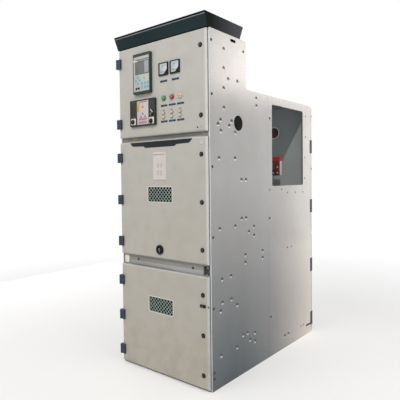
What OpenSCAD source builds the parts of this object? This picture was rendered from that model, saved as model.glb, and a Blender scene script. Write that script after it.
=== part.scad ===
// Metal-clad switchgear panel: a sheet-steel cabinet with a low-voltage box on top
// of the front, three front doors, two rear doors and a busbar compartment that is
// open to the side. Millimetres, +Z up, front towards -Y. The origin is the centre
// of the floor frame, on the floor.

/* [Case] */
// Width over the side sheets
case_w = 800; // [700:10:1000]
// Depth of the frame between the front and rear door planes
case_d = 1380; // [1300:10:1700]
// Height of the rear part, to the top of its roof
rear_h = 1900; // [1880:10:2100]
// Height of the low-voltage box, to the top of its roof
lv_h = 2216; // [2210:2:2400]
// Depth of the low-voltage box
lv_d = 395; // [340:5:500]
// Sheet steel thickness
sheet = 2; // [1.5:0.5:3]
// Distance from the front plane to the seam between the side sheets
seam_y = 675; // [620:5:740]
// Width of the folded edges at the side sheets' seam
fold = 25; // [18:1:35]
// Width of the folded edges at the side sheets' front and rear
edge_fold = 12; // [8:1:16]
// Distance from the front plane to the wiring holes in the side sheets
wire_hole_y = 302; // [260:2:330]
// Height of the wiring holes in the side sheets
wire_hole_z = 1668; // [1660:2:1800]
// Radius of the wiring holes in the side sheets
wire_hole_r = 50; // [35:1:55]
// Length of the slots near the floor for the earth bar
earth_slot_w = 82; // [50:2:100]
// Height of the slots near the floor for the earth bar
earth_slot_h = 13; // [8:1:20]

/* [Front frame] */
// Width of a front post, from the outside of the case
post_w = 65; // [56:1:80]
// Depth of a front post
post_d = 50; // [40:1:70]
// Height of the floor frame
base_h = 40; // [30:1:60]
// Width of the floor frame's flange
base_flange = 60; // [50:1:80]
// Thickness of the floor frame
base_t = 4; // [3:0.5:6]
// Radius of a floor bolt hole
floor_bolt_r = 7; // [5:0.5:9]
// Distance from a floor bolt hole to the outside of the case
floor_bolt_inset = 32; // [28:1:40]

/* [Front doors] */
// Thickness of a door pan
door_t = 20; // [16:1:28]
// Gap between a door pan and the frame behind it
door_gap = 5; // [5:0.5:8]
// Gap between a door's edge and the outside of the case
door_side = 9; // [8:0.5:14]
// Radius of a door's folded front edges
door_r = 12; // [8:1:16]
// Bottom of the cable door
cable_z0 = 14; // [10:1:30]
// Top of the cable door
cable_z1 = 712; // [680:1:720]
// Bottom of the breaker door
breaker_z0 = 784; // [770:1:800]
// Top of the breaker door
breaker_z1 = 1565; // [1540:1:1575]
// Bottom of the low-voltage door
lv_z0 = 1597; // [1590:1:1620]
// Gap between the low-voltage door's top and the header
lv_top_gap = 5; // [5:0.5:10]

/* [Rear doors] */
// Gap between a rear door pan and the frame before it
rear_gap = 7; // [6:0.5:10]
// Distance from a rear door's edge to the outside of the case
rear_side = 4; // [3:0.5:8]
// Bottom of the lower rear door
rear_lower_z0 = 14; // [10:1:30]
// Top of the lower rear door
rear_split = 836; // [800:1:860]
// Gap between the two rear doors
rear_split_gap = 10; // [8:1:20]
// Gap between the upper rear door's top and the roof
rear_top_gap = 12; // [8:1:20]

/* [Hinges and locks] */
// Height of a front hinge
hinge_h = 66; // [50:1:80]
// Radius of a front hinge's knuckles
knuckle_r = 8; // [6:0.5:8]
// Distance from a front hinge pin to the front plane
pin_y = 36; // [34:0.5:42]
// Distance from a front hinge pin to the outside of the case
pin_side = 6; // [5:0.5:8]
// Width of a front hinge's door leaf, from the pin
leaf_w = 34; // [28:1:44]
// Height of a rear hinge
rear_hinge_h = 112; // [90:1:130]
// Radius of a rear hinge's knuckles
rear_knuckle_r = 9; // [7:0.5:9]
// Radius of the hinge pins
pin_r = 3; // [2.5:0.25:3.5]
// Radius of a lock's round head
lock_r = 17; // [12:1:20]
// Distance from a lock's centre to the outside of the case
lock_side = 48; // [44:1:52]
// Radius of a lock's shank
lock_shank_r = 4; // [3:0.5:5]

/* [Low-voltage door devices] */
// Width of the protection relay
relay_w = 160; // [140:1:170]
// Height of the protection relay
relay_h = 267; // [240:1:280]
// Side of a square meter
meter_w = 87; // [72:1:90]
// Distance between neighbouring columns of small devices
column_pitch = 71; // [66:1:76]
// Radius of a pilot lamp's bezel
lamp_r = 14; // [11:0.5:15]
// Width of the status indicator
status_w = 240; // [200:5:245]
// Height of the status indicator
status_h = 177; // [150:1:185]

/* [Breaker and cable door] */
// Width of the upper ventilation mesh
upper_mesh_w = 216; // [160:4:260]
// Height of the upper ventilation mesh
upper_mesh_h = 97; // [70:1:120]
// Width of the lower ventilation mesh
lower_mesh_w = 216; // [160:4:260]
// Height of the lower ventilation mesh
lower_mesh_h = 99; // [70:1:120]
// Distance between the diamonds of the meshes
diamond_pitch = 27; // [18:1:36]
// Width of the strands between the diamonds
strand_w = 4; // [2.5:0.5:6]
// Radius of the emergency trip plug
trip_r = 31; // [22:1:36]

/* [Busbar compartment] */
// Distance from the front plane to the near edge of the side opening
opening_y0 = 735; // [725:5:780]
// Distance from the front plane to the far edge of the side opening
opening_y1 = 1230; // [1100:5:1240]
// Bottom of the side opening
opening_z0 = 1248; // [1230:2:1300]
// Top of the side opening
opening_z1 = 1842; // [1700:2:1850]
// Distance from the front plane to the breaker compartment's back wall
back_wall_y = 700; // [690:5:715]
// Distance from the front plane to the busbar compartment's back wall
bus_wall_y = 1300; // [1280:5:1310]
// Distance between neighbouring phases
phase_pitch = 210; // [180:5:225]
// Height of the upper contact boxes
upper_contact_z = 1401; // [1380:1:1420]
// Height of the lower contact boxes
lower_contact_z = 1091; // [1060:1:1110]
// Outer radius of a contact box
contact_r = 82; // [70:1:85]
// Distance from the front plane to the joint blocks of the bars
joint_y = 1100; // [1000:5:1150]
// Radius of the grommet's hole in the busbar compartment's back wall
grommet_r = 42; // [30:1:55]

/* [Header] */
// Height of the header
header_h = 84; // [70:1:110]
// How far the header's bottom stands before the front plane
header_front = 20; // [18:1:30]
// How far the header flares out at its front
header_flare = 30; // [15:1:40]
// How far the header flares out at its sides
header_side_flare = 6.5; // [4:0.5:10]
// Distance from the front plane to the back of the header's bottom
header_back = 326; // [280:1:330]

/* [Hidden] */
$fn = 96;
cut = 1;
half_w = case_w / 2;
front = -case_d / 2;
rear = case_d / 2;
inner_x = half_w - sheet;
near_x = half_w - edge_fold;

// Clearances: where pieces seat, at a turning pin, between sheets, round a moving piece
touch = 0.3;
run_clearance = 0.05;
sheet_gap = 1;
moving_gap = 5;

// Doors and posts
door_front = front - door_gap - door_t;
door_back = front - door_gap;
door_x = half_w - door_side;
post_x = half_w - post_w;
post_face = front + 2 * sheet;
lv_z1 = lv_h - lv_top_gap;
rear_door_x = half_w - rear_side;
rear_door_front = rear + rear_gap;
rear_door_back = rear_door_front + door_t;
rear_upper_z0 = rear_split + rear_split_gap;
rear_upper_z1 = rear_h - rear_top_gap;

// Hinges
pin_x = -half_w + pin_side;
pin_front = front - pin_y;
front_knuckle = hinge_h / 4;
knuckle_gap = 0.5;
leaf_t = 4;
leaf_proud = 14;
web_t = 9;
rear_knuckle = rear_hinge_h / 4;
rear_pin_x = half_w - rear_knuckle_r;
rear_pin_y = rear_door_front + door_t / 2;
rear_leaf_t = 2;
rear_web_t = 12;
notch_x = rear_pin_x - rear_knuckle_r - moving_gap;
notch_h = rear_hinge_h + 2 * moving_gap;

// Locks
lock_x = half_w - lock_side;
lock_hole_gap = 2.5;
lock_hole_r = lock_shank_r + lock_hole_gap;
lock_head_d = 12;
lock_reach = 10;

// Hinge and lock heights, each from the nearer edge of its door
lv_fix_z = [lv_z0 + 97, lv_z1 - 97];
breaker_fix_z = [breaker_z0 + 90, (breaker_z0 + breaker_z1) / 2 - 9, breaker_z1 - 107];
cable_fix_z = [cable_z0 + 87, (cable_z0 + cable_z1) / 2 - 14, cable_z1 - 114];
front_fix_z = concat(lv_fix_z, breaker_fix_z, cable_fix_z);
rear_lower_fix_z = [rear_lower_z0 + 101, rear_split - 266];
rear_upper_fix_z = [rear_upper_z0 + 222, rear_upper_z1 - 323];
rear_fix_z = concat(rear_lower_fix_z, rear_upper_fix_z);

// Compartment levels: each floor lies on its crossbeam, which laps over two doors
beam_lap = 6;
beam_under = 14;
lv_floor_z = lv_z0 + beam_lap;
breaker_floor_z = breaker_z0 + beam_lap;
bus_floor_z = opening_z0 - 42;
plate_y0 = front + post_d + sheet_gap;
roof_under = rear_h - sheet;

// Openings in the side sheets
opening_r = 15;
wire_slot_y = 248;
wire_slot_w = 58;
wire_slot_h = 18;
wire_slot_drop = 29;
earth_slot_y = case_d - 61;
earth_slot_z = base_h + 33;

// Busbar compartment
cup_wall = 10;
cup_flange = 12;
cup_front = 90;
cup_rear = 60;
bar_w = 60;
bar_t = 14;
joint_w = 100;
joint_h = 153;
joint_t = 34;
grommet_x = 98;
grommet_z = opening_z1 - 148;
grommet_lip = 6;
grommet_wall = 5;

// Low-voltage door: places from its top edge and the middle of the case
cutout_lap = 10;
relay_x = -139;
relay_z = lv_z1 - 196;
relay_proud = 20;
relay_body_d = 96;
meter_x = [47, 146];
meter_z = lv_z1 - 194;
meter_proud = 16;
meter_corner = 4;
meter_body_r = 33;
meter_body_d = 50;
column_x = [46, 46 + column_pitch, 46 + 2 * column_pitch];
lamp_z = lv_z1 - 380;
lamp_collar_d = 7;
lamp_step = 3;
lamp_proud = 24;
lamp_body_r = 8.5;
lamp_body_d = 45;
link_w = 30;
link_h = 54;
link_t = 6;
link_corner = 3;
link_z = lv_z1 - 484;
link_knob_r = 7;
link_knob_proud = 18;
link_knob_z = 14;
label_w = 61;
label_h = 13;
small_label_w = 58;
small_label_h = 12;
label_t = 1;
label_corner = 2;
blue_label_x = [46, 148];
blue_label_z = lv_z1 - 271;
small_label_z = [lv_z1 - 428, lv_z1 - 530];
status_x = -142;
status_z = lv_z1 - 456;
status_proud = 14;
status_corner = 5;
status_body_d = 40;
status_knob_r = 9;
status_knob_proud = 10;
status_knobs = [[-103, -53], [70, -59], [67, -4]];

// Breaker and cable doors: places from their top edges and the middle of the case
mesh_t = 1.5;
mesh_border = 8;
mesh_corner = 6;
upper_mesh_x = -4;
upper_mesh_z = breaker_z1 - 357;
lower_mesh_x = -8;
lower_mesh_z = cable_z1 - 242;
trip_x = -7;
trip_z = breaker_z0 + 60;
trip_proud = 8;
trip_body_d = 15;
trip_recess = 5;
trip_wall = 9;
trip_face_r = trip_r - trip_wall - sheet_gap;
slot_w = 6;
slot_h = 20;
film_t = 0.5;
notice_x = -3;
notice_z = breaker_z1 - 169;
notice_w = 124;
notice_h = 190;
sticker_w = 23;
sticker_h = 38;
sticker_x = half_w - 47;
sticker_z = breaker_z1 - 34;
band_t = 1.5;
latch_x = half_w - 48;
latch_z = cable_z1 - 181;
latch_w = 42;
latch_h = 18;
latch_corner = 3;
latch_bar_w = 36;
latch_bar_h = 5;

// Earthing switch shaft, in its notch in the right-hand post
shaft_notch_x0 = half_w - 63;
shaft_notch_x1 = half_w - 14;
shaft_notch_z0 = cable_z1 + 6;
shaft_notch_z1 = breaker_z0 - 7;
shaft_r = 10;
shaft_x = half_w - 30;
shaft_z = breaker_z0 - 20;
shaft_plate_t = 4;

// ---- shared shapes ----

// A box given by its two corners
module block(low, high) {
    translate(low) cube(high - low);
}

// A cylinder along Y, from y0 to y1
module rod_y(r, x, z, y0, y1) {
    translate([x, y0, z]) rotate([-90, 0, 0]) cylinder(r = r, h = y1 - y0);
}

// A rectangle with four round corners, its lower left corner at the origin
module round_rect(w, h, r) {
    translate([r, 0]) square([w - 2 * r, h]);
    if (h > 2 * r) translate([0, r]) square([w, h - 2 * r]);
    if (r > 0) for (x = [r, w - r]) for (y = [r, h - r]) translate([x, y]) circle(r = r);
}

// A plate across Y with round corners, centred on x and z, from y0 to y1
module round_plate(w, h, r, x, z, y0, y1) {
    translate([x - w / 2, y1, z - h / 2]) rotate([90, 0, 0])
        linear_extrude(y1 - y0) round_rect(w, h, r);
}

// A section with its near corners round: width along X, depth along +Y
module near_rounded(w, d, r) {
    intersection() {
        square([w, d]);
        union() {
            translate([0, r]) square([w, d]);
            translate([r, 0]) square([w - 2 * r, d]);
            for (x = [r, w - r]) translate([x, r]) circle(r = r);
        }
    }
}

// A slab with round edges towards -Y, from [0, 0, 0] to [w, d, h]
module soft_slab(w, d, h, r) {
    intersection() {
        linear_extrude(h) near_rounded(w, d, r);
        rotate([90, 0, 90]) linear_extrude(w) mirror([1, -1, 0]) near_rounded(h, d, r);
    }
}

// A door pan open towards +Y: from x0 to x1, z0 to z1, its face at y
module pan(x0, x1, z0, z1, y) {
    translate([x0, y, z0]) difference() {
        soft_slab(x1 - x0, door_t, z1 - z0, door_r);
        translate([sheet, sheet, sheet])
            soft_slab(x1 - x0 - 2 * sheet, door_t, z1 - z0 - 2 * sheet, door_r - sheet);
    }
}

// A front door pan between two heights
module front_pan(z0, z1) {
    pan(-door_x, door_x, z0, z1, door_front);
}

// The slots in a level plate where the folded edges of the side sheets pass
module seam_slots(z) {
    for (side = [0, 1]) mirror([side, 0, 0])
        block([half_w - fold - touch, front + seam_y - sheet - cut, z - cut],
            [half_w, front + seam_y + sheet + cut, z + sheet + cut]);
}

// ---- floor and frame ----

// A level rectangular ring from height z0 to z1, a sheet inside the case, open in the middle
module frame_ring(width, z0, z1) {
    difference() {
        block([-inner_x, front + sheet, z0], [inner_x, rear - sheet, z1]);
        block([-inner_x + width, front + sheet + width, z0 - cut],
            [inner_x - width, rear - sheet - width, z1 + cut]);
    }
}

// An angle frame: an upright edge, and a flange on the floor with its bolt holes
module base_frame() {
    color("darkgray") difference() {
        union() {
            frame_ring(base_t, 0, base_h);
            frame_ring(base_flange, 0, base_t);
        }
        for (x = [-1, 1]) for (y = [-1, 1])
            translate([x * (half_w - floor_bolt_inset), y * (case_d / 2 - floor_bolt_inset), -cut])
                cylinder(r = floor_bolt_r, h = base_t + 2 * cut);
    }
}

module floor_plate() {
    color("gainsboro") difference() {
        block([-inner_x, front + post_d + sheet, base_h],
            [inner_x, rear - post_d - sheet, base_h + sheet]);
        seam_slots(base_h);
    }
}

// The right-hand front side sheet: tall before the low-voltage box, lower behind it,
// with a narrow fold at the front and a wide one at the seam
module side_front_shape() {
    seam = front + seam_y - sheet_gap / 2;
    difference() {
        union() {
            block([inner_x, front, 0], [half_w, seam, rear_h]);
            block([inner_x, front, rear_h - cut], [half_w, front + lv_d, lv_h]);
            block([near_x, front, 0], [half_w, front + sheet, lv_h]);
            block([half_w - fold, seam - sheet, base_h], [half_w, seam, roof_under - touch]);
        }
        translate([inner_x - cut, front + wire_hole_y, wire_hole_z]) rotate([0, 90, 0])
            cylinder(r = wire_hole_r, h = sheet + 2 * cut);
        side_slot(wire_slot_w, wire_slot_h, 0, inner_x - cut, wire_slot_y, lv_h - wire_slot_drop);
    }
}

// The right-hand rear side sheet, with its folds, busbar opening and earth bar's slot
module side_rear_shape() {
    seam = front + seam_y + sheet_gap / 2;
    difference() {
        union() {
            block([inner_x, seam, 0], [half_w, rear, rear_h]);
            block([half_w - fold, seam, base_h], [half_w, seam + sheet, roof_under - touch]);
            block([near_x, rear - sheet, 0], [half_w, rear, rear_h]);
        }
        side_slot(opening_y1 - opening_y0, opening_z1 - opening_z0, opening_r, inner_x - cut,
            (opening_y0 + opening_y1) / 2, (opening_z0 + opening_z1) / 2);
        earth_slot(inner_x - cut);
    }
}

// A cutter from x0 out through the right-hand side sheet, its centre y from the front plane
module side_slot(w, h, r, x0, y, z) {
    translate([x0, front + y - w / 2, z - h / 2]) rotate([90, 0, 90])
        linear_extrude(half_w + cut - x0) round_rect(w, h, r);
}

// The earth bar's slot, cut from x0 outwards
module earth_slot(x0) {
    side_slot(earth_slot_w, earth_slot_h, earth_slot_h / 2, x0, earth_slot_y, earth_slot_z);
}

module side_sheet_right_front() {
    color("silver") side_front_shape();
}

module side_sheet_right_rear() {
    color("silver") side_rear_shape();
}

module side_sheet_left_front() {
    color("silver") mirror([1, 0, 0]) side_front_shape();
}

module side_sheet_left_rear() {
    color("silver") mirror([1, 0, 0]) side_rear_shape();
}

// One length of a front post on the right: face, side against the sheet, and inner return
module front_post_length(z0, z1) {
    block([post_x, front + sheet, z0], [inner_x, post_face, z1]);
    block([post_x, front + sheet, z0], [post_x + sheet, front + post_d, z1]);
    block([inner_x - sheet, front + sheet, z0], [inner_x, front + post_d, z1]);
}

// The whole post, in lengths that stand on the breaker's floor and the low-voltage box's floor
module front_post_shape() {
    front_post_length(base_h, breaker_floor_z - sheet);
    front_post_length(breaker_floor_z, lv_floor_z);
    front_post_length(lv_floor_z + sheet, lv_h - 2 * sheet);
}

module front_post_right() {
    color("gainsboro") difference() {
        front_post_shape();
        for (z = front_fix_z) rod_y(lock_hole_r, lock_x, z, front, post_face + cut);
        block([shaft_notch_x0, front, shaft_notch_z0], [shaft_notch_x1, post_face + cut, shaft_notch_z1]);
    }
}

module front_post_left() {
    color("gainsboro") mirror([1, 0, 0]) front_post_shape();
}

// A rear post on the right, of the same form, with a passage for the earth bar
module rear_post_shape() {
    z1 = roof_under - touch;
    difference() {
        union() {
            block([post_x, rear - 2 * sheet, base_h], [inner_x, rear - sheet, z1]);
            block([post_x, rear - post_d, base_h], [post_x + sheet, rear - sheet, z1]);
            block([inner_x - sheet, rear - post_d, base_h], [inner_x, rear - sheet, z1]);
        }
        earth_slot(post_x - cut);
    }
}

module rear_post_right() {
    color("gainsboro") rear_post_shape();
}

module rear_post_left() {
    color("gainsboro") mirror([1, 0, 0]) difference() {
        rear_post_shape();
        for (z = rear_fix_z) rod_y(lock_hole_r, lock_x, z, rear - 2 * sheet - cut, rear);
    }
}

// A channel beam across the front, open to the rear, between two heights
module front_beam(z0, z1) {
    block([-post_x, front + sheet, z0], [post_x, post_face, z1]);
    block([-post_x, front + sheet, z0], [post_x, front + post_d, z0 + sheet]);
    block([-post_x, front + sheet, z1 - sheet], [post_x, front + post_d, z1]);
}

module crossbeam_upper() {
    color("gainsboro") front_beam(breaker_z1 - beam_under, lv_floor_z);
}

module crossbeam_middle() {
    color("gainsboro") front_beam(cable_z1 - beam_under, breaker_floor_z - sheet);
}

module rear_crossbeam() {
    beam_h = 60;
    z0 = rear_split + rear_split_gap / 2 - beam_h / 2;
    color("gainsboro") {
        block([-post_x, rear - 2 * sheet, z0], [post_x, rear - sheet, z0 + beam_h]);
        block([-post_x, rear - post_d, z0], [post_x, rear - sheet, z0 + sheet]);
        block([-post_x, rear - post_d, z0 + beam_h - sheet], [post_x, rear - sheet, z0 + beam_h]);
    }
}

// ---- low-voltage box, header and roof ----

module lv_roof() {
    color("gainsboro") {
        block([-inner_x, front + sheet, lv_h - sheet], [inner_x, front + lv_d, lv_h]);
        block([-inner_x, front + sheet, lv_h - 2 * sheet], [inner_x, post_face, lv_h]);
    }
}

module lv_back_wall() {
    color("gainsboro") {
        block([-inner_x, front + lv_d - sheet, lv_floor_z + sheet],
            [inner_x, front + lv_d, lv_h - sheet]);
    }
}

module lv_floor() {
    color("gainsboro") difference() {
        block([-inner_x, front + sheet, lv_floor_z], [inner_x, front + back_wall_y, lv_floor_z + sheet]);
        seam_slots(lv_floor_z);
    }
}

// The header's outer form: two extruded trapezoids that flare towards the top
module header_form(inset) {
    y0 = front - header_front + inset;
    y1 = front + header_back - inset;
    z0 = lv_h;
    z1 = lv_h + header_h - inset;
    intersection() {
        translate([-case_w, 0, 0]) rotate([90, 0, 90]) linear_extrude(2 * case_w)
            polygon([[y0, z0], [y1, z0], [y1 + header_flare, z1], [y0 - header_flare, z1]]);
        translate([0, case_d, 0]) rotate([90, 0, 0]) linear_extrude(2 * case_d)
            polygon([
                [-half_w + inset, z0], [half_w - inset, z0],
                [half_w + header_side_flare - inset, z1],
                [-half_w - header_side_flare + inset, z1]
            ]);
    }
}

module header() {
    color("darkslategray") difference() {
        header_form(0);
        header_form(sheet);
        block([-inner_x, front - header_front + sheet, lv_h - cut],
            [inner_x, front + header_back - sheet, lv_h + cut / 2]);
    }
}

module roof_plate() {
    color("gainsboro") {
        block([-inner_x, front + lv_d, roof_under], [inner_x, rear - sheet, rear_h]);
    }
}

// Three pressure-relief covers lying on the roof
module relief_flaps() {
    flap_gap = 30;
    flap_side = 60;
    flap_r = 12;
    count = 3;
    y0 = front + lv_d + flap_gap;
    pitch = (rear - sheet - y0) / count;
    color("silver") for (i = [0 : count - 1])
        translate([-half_w + flap_side, y0 + i * pitch, rear_h])
            linear_extrude(sheet) round_rect(case_w - 2 * flap_side, pitch - flap_gap, flap_r);
}

// ---- compartments ----

module breaker_back_wall() {
    color("gainsboro") difference() {
        block([-inner_x + sheet, front + back_wall_y, breaker_floor_z],
            [inner_x - sheet, front + back_wall_y + sheet, roof_under]);
        contact_places() rod_y(contact_r - cup_flange, 0, 0, -cut, sheet + cut);
    }
}

module breaker_floor() {
    z = breaker_floor_z - sheet;
    color("gainsboro") difference() {
        block([-inner_x, front + sheet, z], [inner_x, front + back_wall_y + sheet, z + sheet]);
        seam_slots(z);
    }
}

// Two angle rails that the breaker truck rolls between
module truck_rails() {
    rail_w = 30;
    rail_t = 4;
    rail_inset = 40;
    rail_x = post_x - rail_inset;
    y0 = plate_y0;
    y1 = front + back_wall_y - rail_inset;
    color("silver") for (side = [0, 1]) mirror([side, 0, 0]) {
        block([rail_x - rail_w, y0, breaker_floor_z], [rail_x, y1, breaker_floor_z + rail_t]);
        block([rail_x - rail_t, y0, breaker_floor_z], [rail_x, y1, breaker_floor_z + rail_w]);
    }
}

// The six places of the contact boxes, on the breaker compartment's back wall
module contact_places() {
    for (i = [-1 : 1]) for (z = [upper_contact_z, lower_contact_z])
        translate([i * phase_pitch, front + back_wall_y, z]) children();
}

// Contact boxes: cups open to the breaker compartment, closed at the rear
module contact_boxes() {
    body_r = contact_r - cup_flange - touch;
    color("firebrick") contact_places() difference() {
        union() {
            rod_y(contact_r, 0, 0, -cup_front, 0);
            rod_y(body_r, 0, 0, -cup_front, cup_rear);
        }
        rod_y(body_r - cup_wall, 0, 0, -cup_front - cut, cup_rear - cup_wall);
    }
}

// Sleeved bars from the upper contact boxes back to the joints
module branch_bars() {
    color("crimson") for (i = [-1 : 1])
        block([i * phase_pitch - bar_t / 2, front + back_wall_y + cup_rear, upper_contact_z - bar_w / 2],
            [i * phase_pitch + bar_t / 2, front + joint_y, upper_contact_z + bar_w / 2]);
}

// Sleeved joint blocks at the ends of the branch bars
module busbar_joints() {
    color("crimson") for (i = [-1 : 1])
        block([i * phase_pitch - joint_w / 2, front + joint_y, upper_contact_z - joint_h / 2],
            [i * phase_pitch + joint_w / 2, front + joint_y + joint_t, upper_contact_z + joint_h / 2]);
}

module bus_back_wall() {
    y0 = front + bus_wall_y;
    color("gainsboro") difference() {
        block([-inner_x, y0, bus_floor_z], [inner_x, y0 + sheet, roof_under]);
        rod_y(grommet_r, grommet_x, grommet_z, y0 - cut, y0 + sheet + cut);
    }
}

module bus_floor() {
    color("gainsboro")
        block([-inner_x, front + back_wall_y + sheet, bus_floor_z - sheet],
            [inner_x, front + bus_wall_y + sheet, bus_floor_z]);
}

// A grommet with a lip on the near side of the busbar compartment's back wall
module wall_grommet() {
    y0 = front + bus_wall_y;
    y1 = y0 + sheet;
    color("dimgray") difference() {
        union() {
            rod_y(grommet_r - touch, grommet_x, grommet_z, y0 - grommet_lip, y1 + grommet_lip);
            rod_y(grommet_r + grommet_lip, grommet_x, grommet_z, y0 - grommet_lip, y0 - touch);
        }
        rod_y(grommet_r - grommet_wall, grommet_x, grommet_z, y0 - 2 * grommet_lip, y1 + 2 * grommet_lip);
    }
}

// ---- hinges ----

// The frame side of a front hinge at height z: two knuckles, their pin and the leaf
module front_hinge_leaf(z) {
    bottom = z - hinge_h / 2;
    leaf_x1 = -half_w + leaf_t;
    for (z0 = [bottom, bottom + hinge_h - front_knuckle]) {
        translate([pin_x, pin_front, z0]) cylinder(r = knuckle_r, h = front_knuckle);
        block([-half_w, pin_front, z0], [leaf_x1, front, z0 + front_knuckle]);
    }
    block([-half_w, pin_front + knuckle_r + knuckle_gap, bottom], [leaf_x1, front, bottom + hinge_h]);
    translate([pin_x, pin_front, bottom]) cylinder(r = pin_r, h = hinge_h);
}

module front_hinge_leaves() {
    color("darkslategray") for (z = front_fix_z) front_hinge_leaf(z);
}

// The door side of a front hinge: the middle knuckle, its web and the leaf on the door
module front_door_leaf(z) {
    leaf_x0 = pin_x + knuckle_r + sheet_gap;
    middle_h = hinge_h - 2 * front_knuckle - 2 * knuckle_gap;
    leaf_front = door_front - leaf_proud;
    difference() {
        union() {
            translate([pin_x, pin_front, z - middle_h / 2]) cylinder(r = knuckle_r, h = middle_h);
            block([pin_x, leaf_front, z - middle_h / 2],
                [leaf_x0 + cut, leaf_front + web_t, z + middle_h / 2]);
            block([leaf_x0, leaf_front, z - hinge_h / 2], [pin_x + leaf_w, door_front, z + hinge_h / 2]);
        }
        translate([pin_x, pin_front, z - hinge_h])
            cylinder(r = pin_r + run_clearance, h = 2 * hinge_h);
    }
}

module lv_door_hinges() {
    color("darkslategray") for (z = lv_fix_z) front_door_leaf(z);
}

module breaker_door_hinges() {
    color("darkslategray") for (z = breaker_fix_z) front_door_leaf(z);
}

module cable_door_hinges() {
    color("darkslategray") for (z = cable_fix_z) front_door_leaf(z);
}

// The frame side of a rear hinge at height z
module rear_hinge_leaf(z) {
    bottom = z - rear_hinge_h / 2;
    block([notch_x + sheet_gap, rear, bottom], [inner_x, rear + rear_leaf_t, bottom + rear_hinge_h]);
    for (z0 = [bottom, bottom + rear_hinge_h - rear_knuckle]) {
        translate([rear_pin_x, rear_pin_y, z0]) cylinder(r = rear_knuckle_r, h = rear_knuckle);
        block([rear_pin_x - leaf_t, rear, z0], [rear_pin_x + leaf_t, rear_pin_y, z0 + rear_knuckle]);
    }
    translate([rear_pin_x, rear_pin_y, bottom]) cylinder(r = pin_r, h = rear_hinge_h);
}

module rear_hinge_leaves() {
    color("darkslategray") for (z = rear_fix_z) rear_hinge_leaf(z);
}

// The door side of a rear hinge: the middle knuckle and its web into the notch
module rear_door_leaf(z) {
    middle_h = rear_hinge_h - 2 * rear_knuckle - 2 * knuckle_gap;
    difference() {
        union() {
            translate([rear_pin_x, rear_pin_y, z - middle_h / 2])
                cylinder(r = rear_knuckle_r, h = middle_h);
            block([notch_x, rear_pin_y - rear_web_t / 2, z - middle_h / 2],
                [rear_pin_x, rear_pin_y + rear_web_t / 2, z + middle_h / 2]);
        }
        translate([rear_pin_x, rear_pin_y, z - middle_h])
            cylinder(r = pin_r + run_clearance, h = 2 * middle_h);
    }
}

module rear_upper_door_hinges() {
    color("darkslategray") for (z = rear_upper_fix_z) rear_door_leaf(z);
}

module rear_lower_door_hinges() {
    color("darkslategray") for (z = rear_lower_fix_z) rear_door_leaf(z);
}

// ---- locks ----

// A captive lock screw through a front door into the post's hole
module front_lock(z) {
    rod_y(lock_r, lock_x, z, door_front - lock_head_d, door_front);
    rod_y(lock_shank_r, lock_x, z, door_front, front + lock_reach);
}

module lv_door_locks() {
    color("black") for (z = lv_fix_z) front_lock(z);
}

module breaker_door_locks() {
    color("black") for (z = breaker_fix_z) front_lock(z);
}

module cable_door_locks() {
    color("black") for (z = cable_fix_z) front_lock(z);
}

// A captive lock screw through a rear door
module rear_lock(z) {
    rod_y(lock_r, -lock_x, z, rear_door_back, rear_door_back + lock_head_d);
    rod_y(lock_shank_r, -lock_x, z, rear - lock_reach, rear_door_back);
}

module rear_upper_door_locks() {
    color("black") for (z = rear_upper_fix_z) rear_lock(z);
}

module rear_lower_door_locks() {
    color("black") for (z = rear_lower_fix_z) rear_lock(z);
}

// The holes that a front door's lock screws pass through
module front_lock_holes(heights) {
    for (z = heights) rod_y(lock_shank_r + touch, lock_x, z, door_front - cut, door_back + cut);
}

// ---- earthing switch shaft ----

// A bearing plate behind the post's notch and the hexagonal end of the shaft
module earthing_shaft() {
    plate_y = front + post_d;
    color("dimgray") {
        block([shaft_notch_x0, plate_y, shaft_notch_z0], [inner_x, plate_y + shaft_plate_t, shaft_notch_z1]);
        translate([shaft_x, plate_y + cut, shaft_z]) rotate([90, 0, 0])
            cylinder(r = shaft_r, h = post_d - sheet_gap, $fn = 6);
    }
}

// ---- low-voltage door ----

// A plate on a front door's face, centred on x and z, proud by t
module face_plate(w, h, r, x, z, t) {
    round_plate(w, h, r, x, z, door_front - t, door_front);
}

// A device's body behind the door's face, smaller all round than its bezel by lap
module device_body(w, h, x, z, lap, depth) {
    block([x - w / 2 + lap, door_front - cut, z - h / 2 + lap],
        [x + w / 2 - lap, door_front + depth, z + h / 2 - lap]);
}

module lv_door_panel() {
    color("lightgray") difference() {
        front_pan(lv_z0, lv_z1);
        front_lock_holes(lv_fix_z);
        device_body(relay_w, relay_h, relay_x, relay_z, cutout_lap, door_t);
        device_body(status_w, status_h, status_x, status_z, cutout_lap, door_t);
        for (x = meter_x) rod_y(meter_body_r + touch, x, meter_z, door_front - cut, front);
        for (x = column_x) rod_y(lamp_body_r + touch, x, lamp_z, door_front - cut, front);
    }
}

module protection_relay() {
    color("darkslategray") {
        face_plate(relay_w, relay_h, 0, relay_x, relay_z, relay_proud);
        device_body(relay_w, relay_h, relay_x, relay_z, cutout_lap + touch, relay_body_d);
    }
}

module panel_meters() {
    color("dimgray") for (x = meter_x) {
        face_plate(meter_w, meter_w, meter_corner, x, meter_z, meter_proud);
        rod_y(meter_body_r, x, meter_z, door_front - cut, door_front + meter_body_d);
    }
}

// A pilot lamp: collar and lens before the door, contact body behind it
module pilot_lamps() {
    color("gray") for (x = column_x) {
        rod_y(lamp_r, x, lamp_z, door_front - lamp_collar_d, door_front);
        rod_y(lamp_r - lamp_step, x, lamp_z, door_front - lamp_proud, door_front - lamp_collar_d + cut);
        rod_y(lamp_body_r, x, lamp_z, door_front - cut, door_front + lamp_body_d);
    }
}

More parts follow.
